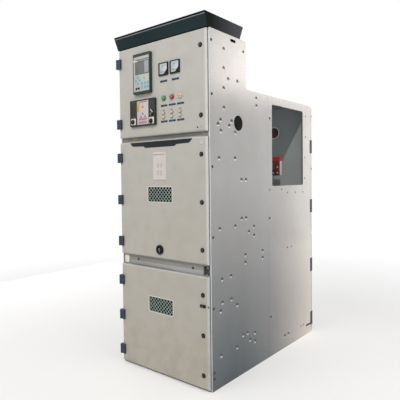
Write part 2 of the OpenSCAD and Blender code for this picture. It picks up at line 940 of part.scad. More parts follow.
// A link plate: a small upright plate with two round knobs
module link_plates() {
    knob_front = door_front - link_knob_proud;
    color("wheat") for (x = column_x) {
        face_plate(link_w, link_h, link_corner, x, link_z, link_t);
        for (side = [-1, 1])
            rod_y(link_knob_r, x, link_z + side * link_knob_z, knob_front, door_front - cut);
    }
}

module device_labels() {
    color("navy") {
        for (x = blue_label_x) face_plate(label_w, label_h, label_corner, x, blue_label_z, label_t);
        for (z = small_label_z) for (x = column_x)
            face_plate(small_label_w, small_label_h, label_corner, x, z, label_t);
    }
}

module status_indicator() {
    color("dimgray") {
        face_plate(status_w, status_h, status_corner, status_x, status_z, status_proud);
        device_body(status_w, status_h, status_x, status_z, cutout_lap + touch, status_body_d);
    }
}

// Turning knobs on the status indicator's face
module status_knobs() {
    y1 = door_front - status_proud;
    color("black") for (place = status_knobs)
        rod_y(status_knob_r, status_x + place[0], status_z + place[1], y1 - status_knob_proud, y1);
}

// ---- breaker door ----

// The hole in a door behind a mesh
module mesh_cut(w, h, x, z) {
    round_plate(w, h, mesh_corner, x, z, door_front - cut, front);
}

module breaker_door_panel() {
    color("lightgray") difference() {
        front_pan(breaker_z0, breaker_z1);
        front_lock_holes(breaker_fix_z);
        mesh_cut(upper_mesh_w, upper_mesh_h, upper_mesh_x, upper_mesh_z);
        rod_y(trip_r - trip_wall + touch, trip_x, trip_z, door_front - cut, front);
    }
}

// Diamonds in staggered rows that cover a rectangle w wide and h high about the origin
module diamonds(w, h) {
    columns = ceil(w / diamond_pitch / 2);
    rows = ceil(h / diamond_pitch / 2);
    reach = (diamond_pitch - strand_w) / 2;
    for (row = [-rows : rows]) for (column = [-columns : columns]) for (half = [0, diamond_pitch / 2])
        translate([column * diamond_pitch + half, row * diamond_pitch + half])
            polygon([[-reach, 0], [0, -reach], [reach, 0], [0, reach]]);
}

// A flat mesh behind its door's face: a plain border round staggered diamonds
module mesh_plate(w, h, x, z) {
    y0 = door_front + sheet;
    border_w = w + 2 * mesh_border;
    border_h = h + 2 * mesh_border;
    translate([x, y0 + mesh_t, z]) rotate([90, 0, 0]) linear_extrude(mesh_t) difference() {
        translate([-border_w / 2, -border_h / 2]) round_rect(border_w, border_h, mesh_corner);
        intersection() {
            translate([-w / 2, -h / 2]) round_rect(w, h, mesh_corner);
            diamonds(w, h);
        }
    }
}

module breaker_door_mesh() {
    color("slategray") mesh_plate(upper_mesh_w, upper_mesh_h, upper_mesh_x, upper_mesh_z);
}

// The nameplate band along the door's top: half of its stepped outline, then its mirror
module nameplate_band() {
    color("darkslategray") for (side = [0, 1]) mirror([side, 0, 0])
        translate([0, door_front, breaker_z1]) rotate([90, 0, 0]) linear_extrude(band_t)
            polygon([[0, -6], [280, -6], [273, -17], [253, -32], [148, -35], [132, -46], [0, -46]]);
}

module notice_labels() {
    color("white") {
        face_plate(notice_w, notice_h, label_corner, notice_x, notice_z, film_t);
        face_plate(sticker_w, sticker_h, label_corner, sticker_x, sticker_z, film_t);
    }
}

// The emergency trip's round plug: a collar and a recessed face with a key slot
module trip_plug() {
    face_y = door_front - trip_proud;
    color("black") difference() {
        union() {
            rod_y(trip_r, trip_x, trip_z, face_y, door_front);
            rod_y(trip_r - trip_wall, trip_x, trip_z, door_front - cut, door_front + trip_body_d);
        }
        rod_y(trip_face_r, trip_x, trip_z, face_y - cut, face_y + trip_recess);
        block([trip_x - slot_w / 2, face_y - cut, trip_z - slot_h / 2],
            [trip_x + slot_w / 2, face_y + 2 * trip_recess, trip_z + slot_h / 2]);
    }
}

// ---- cable door ----

module cable_door_panel() {
    color("lightgray") difference() {
        front_pan(cable_z0, cable_z1);
        front_lock_holes(cable_fix_z);
        mesh_cut(lower_mesh_w, lower_mesh_h, lower_mesh_x, lower_mesh_z);
    }
}

module cable_door_mesh() {
    color("slategray") mesh_plate(lower_mesh_w, lower_mesh_h, lower_mesh_x, lower_mesh_z);
}

// A small latch: a plate and a raised bar along its top
module cable_door_latch() {
    color("dimgray") {
        face_plate(latch_w, latch_h, latch_corner, latch_x, latch_z, latch_bar_h);
        face_plate(latch_bar_w, latch_bar_h, label_corner, latch_x, latch_z + latch_bar_h, 2 * latch_bar_h);
    }
}

// ---- rear doors ----

// A rear door pan with a walled notch at each hinge
module rear_pan(z0, z1, heights) {
    mirror([0, 1, 0]) difference() {
        union() {
            pan(-rear_door_x, rear_door_x, z0, z1, -rear_door_back);
            for (z = heights)
                block([notch_x - sheet, -rear_door_back + sheet / 2, z - notch_h / 2 - sheet],
                    [rear_door_x - sheet / 2, -rear_door_front, z + notch_h / 2 + sheet]);
        }
        for (z = heights) {
            block([notch_x, -rear_door_back - cut, z - notch_h / 2],
                [half_w, -rear_door_front + cut, z + notch_h / 2]);
            rod_y(lock_shank_r + touch, -lock_x, z, -rear_door_back - cut, -rear_door_front + cut);
        }
    }
}

module rear_upper_door_panel() {
    color("silver") rear_pan(rear_upper_z0, rear_upper_z1, rear_upper_fix_z);
}

module rear_lower_door_panel() {
    color("silver") rear_pan(rear_lower_z0, rear_split, rear_lower_fix_z);
}

base_frame();
floor_plate();
side_sheet_right_front();
side_sheet_right_rear();
side_sheet_left_front();
side_sheet_left_rear();
front_post_right();
front_post_left();
rear_post_right();
rear_post_left();
crossbeam_upper();
crossbeam_middle();
rear_crossbeam();
lv_roof();
lv_back_wall();
lv_floor();
header();
roof_plate();
relief_flaps();
breaker_back_wall();
breaker_floor();
truck_rails();
contact_boxes();
branch_bars();
busbar_joints();
bus_back_wall();
bus_floor();
wall_grommet();
front_hinge_leaves();
rear_hinge_leaves();
earthing_shaft();
lv_door_panel();
lv_door_hinges();
lv_door_locks();
protection_relay();
panel_meters();
pilot_lamps();
link_plates();
device_labels();
status_indicator();
status_knobs();
breaker_door_panel();
breaker_door_hinges();
breaker_door_locks();
nameplate_band();
notice_labels();
breaker_door_mesh();
trip_plug();
cable_door_panel();
cable_door_hinges();
cable_door_locks();
cable_door_mesh();
cable_door_latch();
rear_upper_door_panel();
rear_upper_door_hinges();
rear_upper_door_locks();
rear_lower_door_panel();
rear_lower_door_hinges();
rear_lower_door_locks();
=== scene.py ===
import math

import bmesh
import bpy
from mathutils import Matrix, Vector


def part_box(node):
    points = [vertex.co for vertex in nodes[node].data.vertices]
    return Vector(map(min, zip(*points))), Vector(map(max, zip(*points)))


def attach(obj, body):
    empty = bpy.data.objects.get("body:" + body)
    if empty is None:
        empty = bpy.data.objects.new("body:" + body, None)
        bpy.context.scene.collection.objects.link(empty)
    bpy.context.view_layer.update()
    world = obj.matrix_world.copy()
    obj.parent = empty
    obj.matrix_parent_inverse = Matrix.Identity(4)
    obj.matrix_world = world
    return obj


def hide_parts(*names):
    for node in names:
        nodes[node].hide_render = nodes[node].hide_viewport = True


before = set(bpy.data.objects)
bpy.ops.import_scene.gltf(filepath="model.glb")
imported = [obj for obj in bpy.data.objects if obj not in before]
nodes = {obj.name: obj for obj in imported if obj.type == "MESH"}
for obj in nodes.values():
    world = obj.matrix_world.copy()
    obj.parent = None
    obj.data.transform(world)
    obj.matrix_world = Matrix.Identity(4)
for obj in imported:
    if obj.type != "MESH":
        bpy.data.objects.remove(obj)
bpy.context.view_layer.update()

MM = 0.001


def rgb(red, green, blue):
    """A colour written as 0 to 255 levels, as Blender's linear value."""
    levels = (red, green, blue)
    return tuple(((c / 255 + 0.055) / 1.055) ** 2.4 if c > 10 else c / 255 / 12.92 for c in levels) + (1,)


# ---- materials ----

# Pale edge patches of the paints: part edge wear, part a painted highlight where rounded edges catch the
# light
EDGE_HIGHLIGHT_AND_WEAR = (218, 216, 210)
GRIME = (112, 104, 94)
GLOSS_SWING = 0.08
# Where a noise, which stays near its middle, is cut into patches and smudges
PATCH_LOW, PATCH_HIGH = 0.35, 0.68
SMUDGE_LOW, SMUDGE_HIGH = 0.3, 0.7
# The heights in metres between which the painted light on folded edges runs from its top colour to its foot
# colour
FOLD_TOP, FOLD_FOOT = 2.0, 0.1
F = {}


class Tree:
    """One material's nodes, added and linked with short calls."""

    def __init__(self, name):
        self.name = name
        self.material = bpy.data.materials.new(name)
        self.material.use_nodes = True
        self.tree = self.material.node_tree
        self.shader = self.tree.nodes["Principled BSDF"]
        self.place = self.add("TexCoord").outputs["Object"]

    def add(self, kind, inputs=None, **settings):
        node = self.tree.nodes.new("ShaderNode" + kind)
        for key, value in settings.items():
            setattr(node, key, value)
        for key, value in (inputs or {}).items():
            self.feed(node.inputs[key], value)
        return node

    def feed(self, socket, value):
        if isinstance(value, bpy.types.NodeSocket):
            self.tree.links.new(value, socket)
        else:
            socket.default_value = value

    def noise(self, scale, detail=4.0, stretch=(1, 1, 1), rough=0.55):
        place = self.add("Mapping", {"Vector": self.place, "Scale": stretch}).outputs[0]
        inputs = {"Vector": place, "Scale": scale, "Detail": detail, "Roughness": rough}
        return self.add("TexNoise", inputs).outputs[0]

    def ramp(self, factor, low, high, start=0.0, end=1.0):
        """Maps factor from low..high to start..end, clamped."""
        inputs = {"Value": factor, "From Min": low, "From Max": high, "To Min": start, "To Max": end}
        return self.add("MapRange", inputs).outputs[0]

    def calc(self, operation, a, b=0.0):
        return self.add("Math", {0: a, 1: b}, operation=operation).outputs[0]

    def times(self, a, b):
        return self.calc("MULTIPLY", a, b)

    def blend(self, factor, a, b):
        mix = self.add("Mix", data_type="RGBA")
        for index, value in ((0, factor), (6, a), (7, b)):
            self.feed(mix.inputs[index], value)
        return mix.outputs[2]

    def axis(self, name):
        return self.add("SeparateXYZ", {0: self.place}).outputs[name]

    def facing(self, name, low, high):
        """0 to 1 as the surface, in the object's own directions, turns towards or away from an axis."""
        normal = self.add("TexCoord").outputs["Normal"]
        along = self.add("SeparateXYZ", {0: normal}).outputs[name]
        return self.ramp(self.calc("ABSOLUTE", along), low, high)

    def rounded(self, radius):
        """The surface's direction with its edges rounded; radius in millimetres."""
        return self.add("Bevel", {"Radius": radius * MM}, samples=4).outputs[0]

    def rubbed_and_lit(self, colour, wear_and_highlight, radius):
        """The colour with patches of a second colour along outer and inner edges: wear, and on some finishes
        a painted highlight.
        """
        flat = self.add("NewGeometry").outputs["True Normal"]
        match = self.add("VectorMath", {0: self.rounded(radius), 1: flat}, operation="DOT_PRODUCT")
        edges = self.ramp(match.outputs["Value"], 0.995, 0.8)
        return self.blend(self.times(edges, self.ramp(self.noise(60, 5), 0.4, 0.62)), colour, wear_and_highlight)

    def bump(self, height, depth, below=None):
        inputs = {"Height": height, "Distance": depth * MM, "Strength": 1.0}
        if below is not None:
            inputs["Normal"] = below
        return self.add("Bump", inputs).outputs[0]

    def set(self, **inputs):
        for key, value in inputs.items():
            self.feed(self.shader.inputs[key.replace("_", " ").title().replace("Ior", "IOR")], value)

    def finish(self, **inputs):
        self.set(**inputs)
        F[self.name] = self.material


def surface(name, colour, rough, tint, patch, grain, depth, wear_and_highlight=None, wear_and_highlight_mm=1.5, grime=0.0, fold=None,
            foot=None, metal=0.0, shine=0.5):
    """A painted or moulded surface: patchy colour, uneven gloss and fine grain, and where asked for painted
    shade towards the foot, painted light and shade on folds, grime towards the floor, and edges with wear and
    highlight."""
    t = Tree(name)
    tone = t.blend(t.ramp(t.noise(patch, 5), PATCH_LOW, PATCH_HIGH), rgb(*colour), rgb(*tint))
    # painted shade: the colour runs darker towards the foot
    if foot:
        low_colour, top, bottom = foot
        tone = t.blend(t.ramp(t.axis("Z"), top, bottom), tone, rgb(*low_colour))
    # painted light on folds: faces turned sideways take a lighter tone high up that runs darker towards the
    # floor
    if fold:
        upper, lower = (rgb(*c) for c in fold)
        edge = t.blend(t.ramp(t.axis("Z"), FOLD_TOP, FOLD_FOOT), upper, lower)
        tone = t.blend(t.facing("Y", 0.985, 0.8), tone, edge)
    smudge = t.noise(patch * 9, 6)
    gloss = t.ramp(smudge, SMUDGE_LOW, SMUDGE_HIGH, rough - GLOSS_SWING, rough + GLOSS_SWING)
    if grime:
        low = t.calc("ADD", t.times(t.ramp(t.axis("Z"), 0.5, 0.0), grime), grime * 0.4)
        tone = t.blend(t.times(t.ramp(smudge, 0.42, 0.75), low), tone, rgb(*GRIME))
    # edge patches: wear, and on some finishes a painted highlight
    if wear_and_highlight:
        tone = t.rubbed_and_lit(tone, rgb(*wear_and_highlight), wear_and_highlight_mm)
    normal = t.bump(t.noise(grain, 2), depth, t.rounded(0.8))
    t.finish(base_color=tone, roughness=gloss, normal=normal, metallic=metal, specular_ior_level=shine)


def zinc(name, colour, rough, metallic=0.85, painted_reflections=False):
    """Zinc-coated sheet: faint spangle, rolling streaks and dull patches. With painted reflections it has a
    painted dark blue-grey reflection low at the front, broken up by noise, and a painted pale reflection low
    at the back."""
    t = Tree(name)
    colour = rgb(*colour)
    cells = t.add("TexVoronoi", {"Vector": t.place, "Scale": 85}).outputs["Color"]
    spangle = t.add("SeparateColor", {0: cells}).outputs[0]
    streaks = t.noise(9, 5, (1, 1, 0.08))
    clouds = t.noise(1.6, 6, rough=0.6)
    tone = t.blend(t.ramp(spangle, 0, 1, 0, 0.25), colour, tuple(c * 0.9 for c in colour[:3]) + (1,))
    tone = t.blend(t.ramp(streaks, 0.4, 0.7, 0, 0.2), tone, tuple(c * 0.84 for c in colour[:3]) + (1,))
    tone = t.blend(t.ramp(clouds, 0.35, 0.7, 0, 0.3), tone, rgb(176, 180, 184))
    if painted_reflections:
        height, back = t.axis("Z"), t.axis("Y")
        # painted pale reflection low at the back
        pale = t.times(t.ramp(height, 0.98, 0.76), t.ramp(back, 0.0, 0.62))
        tone = t.blend(pale, tone, rgb(214, 206, 199))
        # painted dark reflection low at the front
        low_front = t.times(t.ramp(height, 1.3, -0.1), t.ramp(back, 0.66, -0.35))
        dark_reflection = t.times(low_front, t.ramp(t.noise(2.6, 5, (1, 1, 0.6)), 0.3, 0.7, 0.8, 1.0))
        tone = t.blend(dark_reflection, tone, rgb(70, 81, 88))
    dull = t.ramp(clouds, SMUDGE_LOW, SMUDGE_HIGH, rough - 0.04, rough + 0.06)
    gloss = t.calc("ADD", dull, t.ramp(spangle, 0, 1, -0.008, 0.008))
    normal = t.bump(t.noise(1.1, 2), 1.2, t.bump(t.noise(380, 3), 0.003))
    t.finish(base_color=tone, roughness=gloss, metallic=metallic, normal=normal)


def header_paint():
    """Black paint; its sides carry painted shade, darkest behind the front corner and a little paler towards
    their back.
    """
    t = Tree("header_paint")
    # painted shade on the side faces, graded from front to back
    side = t.blend(t.ramp(t.axis("Y"), -0.68, -0.36), rgb(8, 13, 12), rgb(66, 67, 70))
    patches = t.ramp(t.noise(3.0, 5), PATCH_LOW, PATCH_HIGH)
    front = t.blend(patches, rgb(32, 45, 47), rgb(38, 51, 53))
    tone = t.rubbed_and_lit(t.blend(t.facing("X", 0.5, 0.9), front, side), rgb(84, 90, 94), 1.0)
    gloss = t.ramp(t.noise(27, 6), SMUDGE_LOW, SMUDGE_HIGH, 0.36, 0.5)
    normal = t.bump(t.noise(800, 2), 0.012, t.rounded(1.2))
    t.finish(base_color=tone, roughness=gloss, normal=normal, specular_ior_level=0.04)


def lens(name, colour):
    """A lamp's lens with painted shade where it curves away from the view, and a clear coat."""
    t = Tree(name)
    colour = rgb(*colour)
    rim_shade = t.ramp(t.add("LayerWeight", {"Blend": 0.35}).outputs["Facing"], 0.0, 0.9)
    tone = t.blend(rim_shade, colour, tuple(c * 0.45 for c in colour[:3]) + (1,))
    gloss = t.ramp(t.noise(240, 3), SMUDGE_LOW, SMUDGE_HIGH, 0.12, 0.22)
    normal = t.bump(t.noise(900, 2), 0.006)
    t.finish(base_color=tone, roughness=gloss, normal=normal, coat_weight=0.6, coat_roughness=0.08)


# Each surface: colour, roughness, second colour, scales of its patches and its grain, the grain's depth in
# millimetres, and what else it has. Each zinc: colour, roughness and metal.
# The door paint: painted light on its folds, painted shade darker towards its foot, and edge patches that are
# part wear, part painted highlight
surface("door_paint", (170, 169, 163), 0.42, (166, 164, 157), 1.2, 620, 0.016, wear_and_highlight=EDGE_HIGHLIGHT_AND_WEAR, grime=0.3,
        fold=((186, 185, 180), (155, 156, 156)), foot=((157, 152, 141), 2.0, 0.1))
# A paler paint on the mesh windows' rims: a painted highlight
surface("rim_highlight_paint", (190, 189, 182), 0.42, (182, 180, 172), 6, 620, 0.016, wear_and_highlight=EDGE_HIGHLIGHT_AND_WEAR)
zinc("galvanised_sheet", (152, 154, 153), 0.38, 0.7)
# The side sheets' zinc carries painted pale and dark reflections
zinc("side_sheet", (164, 161, 158), 0.2, 0.88, True)
zinc("inner_sheet", (156, 163, 163), 0.42, 0.3)
# Zinc of the beams and posts as lit and shaded copies: painted deep shade, painted shade and a painted lit
# tone
zinc("beam_deep_shade", (104, 102, 94), 0.44, 0.3)
zinc("beam_shade", (122, 119, 109), 0.44, 0.3)
zinc("beam_lit", (140, 141, 135), 0.4, 0.3)
surface("cream_paint", (212, 209, 196), 0.4, (200, 196, 180), 14, 700, 0.02, wear_and_highlight=EDGE_HIGHLIGHT_AND_WEAR)
surface("tape", (166, 140, 70), 0.55, (140, 124, 84), 30, 900, 0.03)
surface("dish_shade", (122, 116, 110), 0.5, (112, 107, 102), 40, 900, 0.03, metal=0.3,
        foot=((68, 70, 70), 2.0, 1.72))
# Painted highlight on the dishes' lower lips, less bright low on the sheet
surface("dish_highlight", (220, 219, 216), 0.36, (208, 207, 204), 40, 900, 0.02, metal=0.35,
        foot=((172, 172, 170), 1.4, 0.9))
# Paler zinc on the right side sheet's rounded fold: a painted highlight
surface("fold_highlight_zinc", (196, 198, 199), 0.36, (182, 184, 186), 9, 700, 0.02, metal=0.2)
header_paint()
# A painted highlight line along the header's fold, and painted shade on the strip above it
surface("header_highlight_line", (128, 132, 136), 0.4, (96, 102, 106), 5, 900, 0.01)
surface("header_lip_shade", (14, 16, 17), 0.5, (22, 24, 25), 5, 900, 0.01, shine=0.04)
surface("hinge_metal", (42, 54, 68), 0.42, (54, 62, 76), 20, 1500, 0.02, wear_and_highlight=(112, 118, 126), wear_and_highlight_mm=1.0,
        metal=0.25, shine=0.3)
surface("lock_black", (14, 21, 22), 0.5, (22, 29, 30), 25, 1800, 0.01, wear_and_highlight=(50, 56, 56), wear_and_highlight_mm=0.5,
        shine=0.15)
surface("lock_core", (44, 50, 50), 0.34, (58, 62, 62), 30, 1800, 0.01, wear_and_highlight=(96, 100, 100), wear_and_highlight_mm=0.5,
        metal=0.4)
surface("device_plastic", (34, 50, 47), 0.4, (42, 58, 56), 12, 2200, 0.012, wear_and_highlight=(84, 94, 92), wear_and_highlight_mm=1.0,
        shine=0.25)
surface("status_black", (36, 38, 36), 0.42, (46, 46, 43), 12, 2200, 0.012, wear_and_highlight=(74, 74, 70), wear_and_highlight_mm=0.8,
        shine=0.2)
surface("lamp_plastic", (192, 184, 166), 0.38, (178, 168, 150), 20, 1600, 0.008)
surface("link_plastic", (182, 174, 162), 0.42, (172, 162, 148), 25, 1600, 0.01)
surface("link_shade", (108, 92, 80), 0.45, (126, 108, 94), 40, 1600, 0.01)
surface("label_plastic", (7, 14, 36), 0.36, (12, 24, 52), 40, 2000, 0.006, shine=0.2)
surface("label_blue", (42, 76, 116), 0.36, (60, 92, 132), 60, 2000, 0.004, shine=0.2)
surface("band_plastic", (13, 21, 26), 0.42, (20, 30, 35), 8, 1400, 0.01, wear_and_highlight=(70, 80, 84), wear_and_highlight_mm=0.8,
        shine=0.2)
surface("notice_plastic", (190, 184, 179), 0.4, (182, 175, 170), 15, 900, 0.006)
surface("mesh_steel", (152, 166, 156), 0.42, (130, 144, 136), 30, 1500, 0.02)
# A dark sheet of painted shade behind the mesh windows
surface("mesh_backing_shade", (12, 18, 17), 0.8, (20, 28, 26), 40, 1200, 0.05, shine=0.1)
surface("latch_metal", (92, 96, 96), 0.38, (104, 106, 106), 30, 1500, 0.015, wear_and_highlight=(150, 152, 152),
        wear_and_highlight_mm=0.8, metal=0.4)
# Red insulation: its pale orange edge patches are a painted highlight
surface("red_insulation", (146, 48, 40), 0.5, (126, 38, 36), 6, 500, 0.05, wear_and_highlight=(214, 112, 84), wear_and_highlight_mm=4.0)
surface("red_dark", (84, 36, 36), 0.5, (66, 30, 32), 9, 500, 0.05, wear_and_highlight=(130, 60, 52), wear_and_highlight_mm=1.5)
surface("joint_pale", (176, 178, 180), 0.5, (150, 146, 148), 12, 500, 0.04)
surface("grommet_rubber", (36, 28, 28), 0.6, (48, 42, 40), 14, 900, 0.03, wear_and_highlight=(110, 108, 104))
surface("grommet_ring", (208, 212, 210), 0.5, (184, 188, 186), 14, 900, 0.03)
surface("membrane", (78, 46, 46), 0.6, (60, 36, 38), 20, 600, 0.04)
surface("shaft_steel", (120, 120, 118), 0.34, (96, 98, 98), 20, 1200, 0.02, wear_and_highlight=(170, 168, 162), metal=0.8)
surface("notch_dark", (58, 72, 72), 0.5, (36, 48, 48), 60, 900, 0.06)
surface("bezel", (13, 20, 20), 0.46, (20, 28, 28), 20, 2000, 0.01, wear_and_highlight=(56, 62, 62), wear_and_highlight_mm=0.5, shine=0.15)
surface("bolt_dark", (34, 27, 26), 0.46, (48, 35, 34), 40, 1500, 0.02, metal=0.3)
surface("bolt_bright", (210, 208, 204), 0.34, (184, 180, 172), 40, 1500, 0.01, metal=0.5)
for name, colour, tint in (
        ("face_grey", (167, 170, 166), (160, 164, 160)),
        ("face_warm", (170, 168, 161), (162, 160, 153)),
        ("face_pink", (180, 173, 174), (172, 165, 166))):
    surface(name, colour, 0.42, tint, 12, 1800, 0.006)
surface("face_white", (196, 193, 187), 0.4, (188, 184, 178), 12, 1800, 0.006)
surface("dial_white", (176, 186, 190), 0.36, (164, 175, 180), 25, 1500, 0.004)
surface("slate_grey", (76, 82, 86), 0.4, (84, 89, 92), 18, 1800, 0.008)
surface("slate_blue", (86, 92, 102), 0.4, (94, 98, 106), 18, 1800, 0.008)
surface("led_grey", (150, 151, 156), 0.42, (162, 162, 165), 30, 1800, 0.006)
# A painted shadow line under the relay face's top strip
surface("relay_shadow_line", (66, 60, 54), 0.45, (80, 73, 66), 30, 1800, 0.006)
surface("screen", (104, 104, 94), 0.34, (94, 96, 90), 30, 2600, 0.003, shine=0.3)
for name, colour, tint in (
        ("print_grey", (126, 116, 116), (112, 102, 104)),
        ("print_faint", (166, 152, 152), (156, 142, 143)),
        ("print_red", (140, 96, 106), (126, 84, 96))):
    surface(name, colour, 0.45, tint, 40, 1800, 0.004)
surface("status_grey", (52, 55, 54), 0.42, (64, 66, 64), 30, 1800, 0.006)
surface("key_cyan", (98, 170, 180), 0.42, (84, 158, 170), 40, 1600, 0.008)
surface("key_teal", (40, 120, 124), 0.42, (34, 106, 112), 40, 1600, 0.008)
surface("port_brown", (84, 50, 50), 0.45, (70, 40, 42), 40, 1600, 0.01)
surface("yellow", (186, 150, 42), 0.42, (176, 138, 38), 30, 1500, 0.006)
surface("lilac", (138, 130, 180), 0.4, (126, 118, 170), 40, 2000, 0.004)
surface("gasket", (34, 35, 36), 0.75, (44, 44, 44), 10, 600, 0.06)
lens("green_lens", (8, 130, 74))
lens("red_lens", (164, 14, 46))
lens("amber_lens", (226, 160, 62))

INNER_NODES = ("bus_back_wall", "bus_floor", "breaker_back_wall", "lv_back_wall", "lv_floor", "breaker_floor",
               "floor_plate")
# The CAD nodes that look different from their slot's own finish; the beams and posts take zinc with painted
# shade
OWN_FINISH = {"crossbeam_upper": "beam_deep_shade", "front_post_left": "beam_shade", "front_post_right": "beam_shade",
              "branch_bars": "red_dark", "crossbeam_middle": "beam_shade", "cable_door_latch": "lock_black",
              "status_indicator": "status_black", **dict.fromkeys(INNER_NODES, "inner_sheet")}


def dress_cad_nodes():
    """Each CAD node keeps its mesh and takes the finish of its own slot, or of its place in the cabinet."""
    for name, node in nodes.items():
        for slot in node.material_slots:
            finish = OWN_FINISH.get(name, slot.material.name)
            slot.link = "OBJECT"
            slot.material = F[finish]


# ---- shapes ----


SINK = 0.2  # millimetres that an added shape's foot stands in the face behind it, so that no gap shows
FRONT_DOORS = ("lv_door", "breaker_door", "cable_door")
REAR_DOORS = ("rear_upper_door", "rear_lower_door")


class Plane:
    """Drawings in millimetres: u and v lie in the plane, and w stands out of it."""

    def __init__(self, origin, u, v, w):
        self.origin, self.u, self.v, self.w = (Vector(p) for p in (origin, u, v, w))

    def at(self, u, v, w):
        return self.origin + (self.u * u + self.v * v + self.w * w) * MM


def front_plane(y, x=0.0, z=0.0):
    return Plane((x, y, z), (1, 0, 0), (0, 0, 1), (0, -1, 0))


def side_plane(sign, x, y=0.0, z=0.0):
    return Plane((x, y, z), (0, 1, 0), (0, 0, 1), (sign, 0, 0))


def size_of(lo, hi):
    """A box's width and height seen from the front, in millimetres."""
    return (hi.x - lo.x) / MM, (hi.z - lo.z) / MM


def sides_of(lo, hi):
    """A box's left, bottom, right and top seen from the front, in millimetres."""
    return [c / MM for c in (lo.x, lo.z, hi.x, hi.z)]


def round_of(lo, hi):
    """A round part's middle and radius seen from the front, in millimetres."""
    return (lo.x + hi.x) / 2 / MM, (lo.z + hi.z) / 2 / MM, (hi.x - lo.x) / 2 / MM


def circle(u, v, radius, count=32, turn=0.0):
    steps = (turn + math.tau * i / count for i in range(count))
    return [(u + radius * math.cos(a), v + radius * math.sin(a)) for a in steps]


def rect(u0, v0, u1, v1, radius=0.8, steps=3):
    """A rectangle with round corners, anticlockwise."""
    points = []
    for u, v, start in ((u1 - radius, v0 + radius, -90), (u1 - radius, v1 - radius, 0),
                        (u0 + radius, v1 - radius, 90), (u0 + radius, v0 + radius, 180)):
        for i in range(steps + 1):
            a = math.radians(start + 90 * i / steps)
            points.append((u + radius * math.cos(a), v + radius * math.sin(a)))
    return points


def block(u, v, width, height, radius=0.8):
    return rect(u - width / 2, v - height / 2, u + width / 2, v + height / 2, radius)


def inset(points, distance):
    """The outline moved inwards; points run anticlockwise."""
    result = []
    for before, here, after in zip(points[-1:] + points[:-1], points, points[1:] + points[:1]):
        a = Vector((here[0] - before[0], here[1] - before[1])).normalized()
        b = Vector((after[0] - here[0], after[1] - here[1])).normalized()
        normal = Vector((-a.y - b.y, a.x + b.x))
        scale = distance / max(0.3, normal.length_squared / 2)
        result.append((here[0] + normal.x * scale, here[1] + normal.y * scale))
    return result


class Piece:
    """One object's mesh, built up from closed shapes that each have a finish."""

    def __init__(self, name, plane=None):
        self.name = name
        self.plane = plane
        self.bm = bmesh.new()
        self.finishes = []

    def loft(self, rings, finish, hollow=False):
        """Skins (outline, w) rings in turn. A hollow one closes on itself, and the rest are capped."""
        rows = [[self.bm.verts.new(self.plane.at(u, v, w)) for u, v in outline] for outline, w in rings]
        pairs = list(zip(rows, rows[1:])) + ([(rows[-1], rows[0])] if hollow else [])
        faces = []
        for a, b in pairs:
            for i in range(len(a)):
                j = (i + 1) % len(a)
                faces.append(self.bm.faces.new((a[i], a[j], b[j], b[i])))
        if not hollow:
            faces += [self.bm.faces.new(rows[0][::-1]), self.bm.faces.new(rows[-1])]
        if finish not in self.finishes:
            self.finishes.append(finish)
        for face in faces:
            face.material_index = self.finishes.index(finish)
            face.smooth = True
        return self

    def slab(self, outline, w0, w1, finish, edge=0.25):
        """A plate with a soft front edge."""
        rings = [(outline, w0), (outline, w1 - edge), (inset(outline, edge * 0.3), w1 - edge * 0.3)]
        return self.loft(rings + [(inset(outline, edge), w1)], finish)

    def plates(self, *rows):
        """Flat plates, each a rectangle's left, bottom, right and top, its two heights and its finish."""
        for u0, v0, u1, v1, w0, w1, finish in rows:
            self.slab(rect(u0, v0, u1, v1), w0, w1, finish)

    def ring(self, outer, inner, w0, w1, finish, edge=0.3):
        """A frame between two outlines of as many points."""
        rings = [(outer, w0), (outer, w1 - edge), (inset(outer, edge), w1)]
        return self.loft(rings + [(inset(inner, -edge), w1), (inner, w1 - edge), (inner, w0)], finish, True)

    def turned(self, u, v, profile, finish, count=32):
        """A round shape from (radius, w) steps, both ends capped."""
        return self.loft([(circle(u, v, max(r, 0.05), count), w) for r, w in profile], finish)

    def face_outwards(self):
        bmesh.ops.recalc_face_normals(self.bm, faces=self.bm.faces)

    def done(self, body, replaces=(), recalc=True):
        if recalc:
            self.face_outwards()
        piece = loose_object(self.name, self.bm)
        piece.data.set_sharp_from_angle(angle=math.radians(32))
        for finish in self.finishes:
            piece.data.materials.append(F[finish])
        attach(piece, body)
        if replaces:
            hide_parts(*replaces)


def loose_object(name, bm):
    mesh = bpy.data.meshes.new(name)
    bm.to_mesh(mesh)
    bm.free()
    item = bpy.data.objects.new(name, mesh)
    bpy.context.scene.collection.objects.link(item)
    return item


def islands(node):
    """The boxes of a node's separate solids, in metres, sorted from low x and low z."""
    mesh = nodes[node].data
    keys = {}
    where = [keys.setdefault(tuple(round(c, 5) for c in v.co), len(keys)) for v in mesh.vertices]
    root = list(range(len(keys)))

    def find(i):
        while root[i] != i:
            root[i] = root[root[i]]
            i = root[i]
        return i

    for polygon in mesh.polygons:
        first = find(where[polygon.vertices[0]])
        for v in polygon.vertices[1:]:
            root[find(where[v])] = first
    groups = {}
    for key, i in keys.items():
        groups.setdefault(find(i), []).append(key)
    boxes = [(Vector(map(min, zip(*g))), Vector(map(max, zip(*g)))) for g in groups.values()]
    return sorted(boxes, key=lambda b: (round(b[0].x, 3), round(b[0].z, 3)))


# ---- side sheets ----

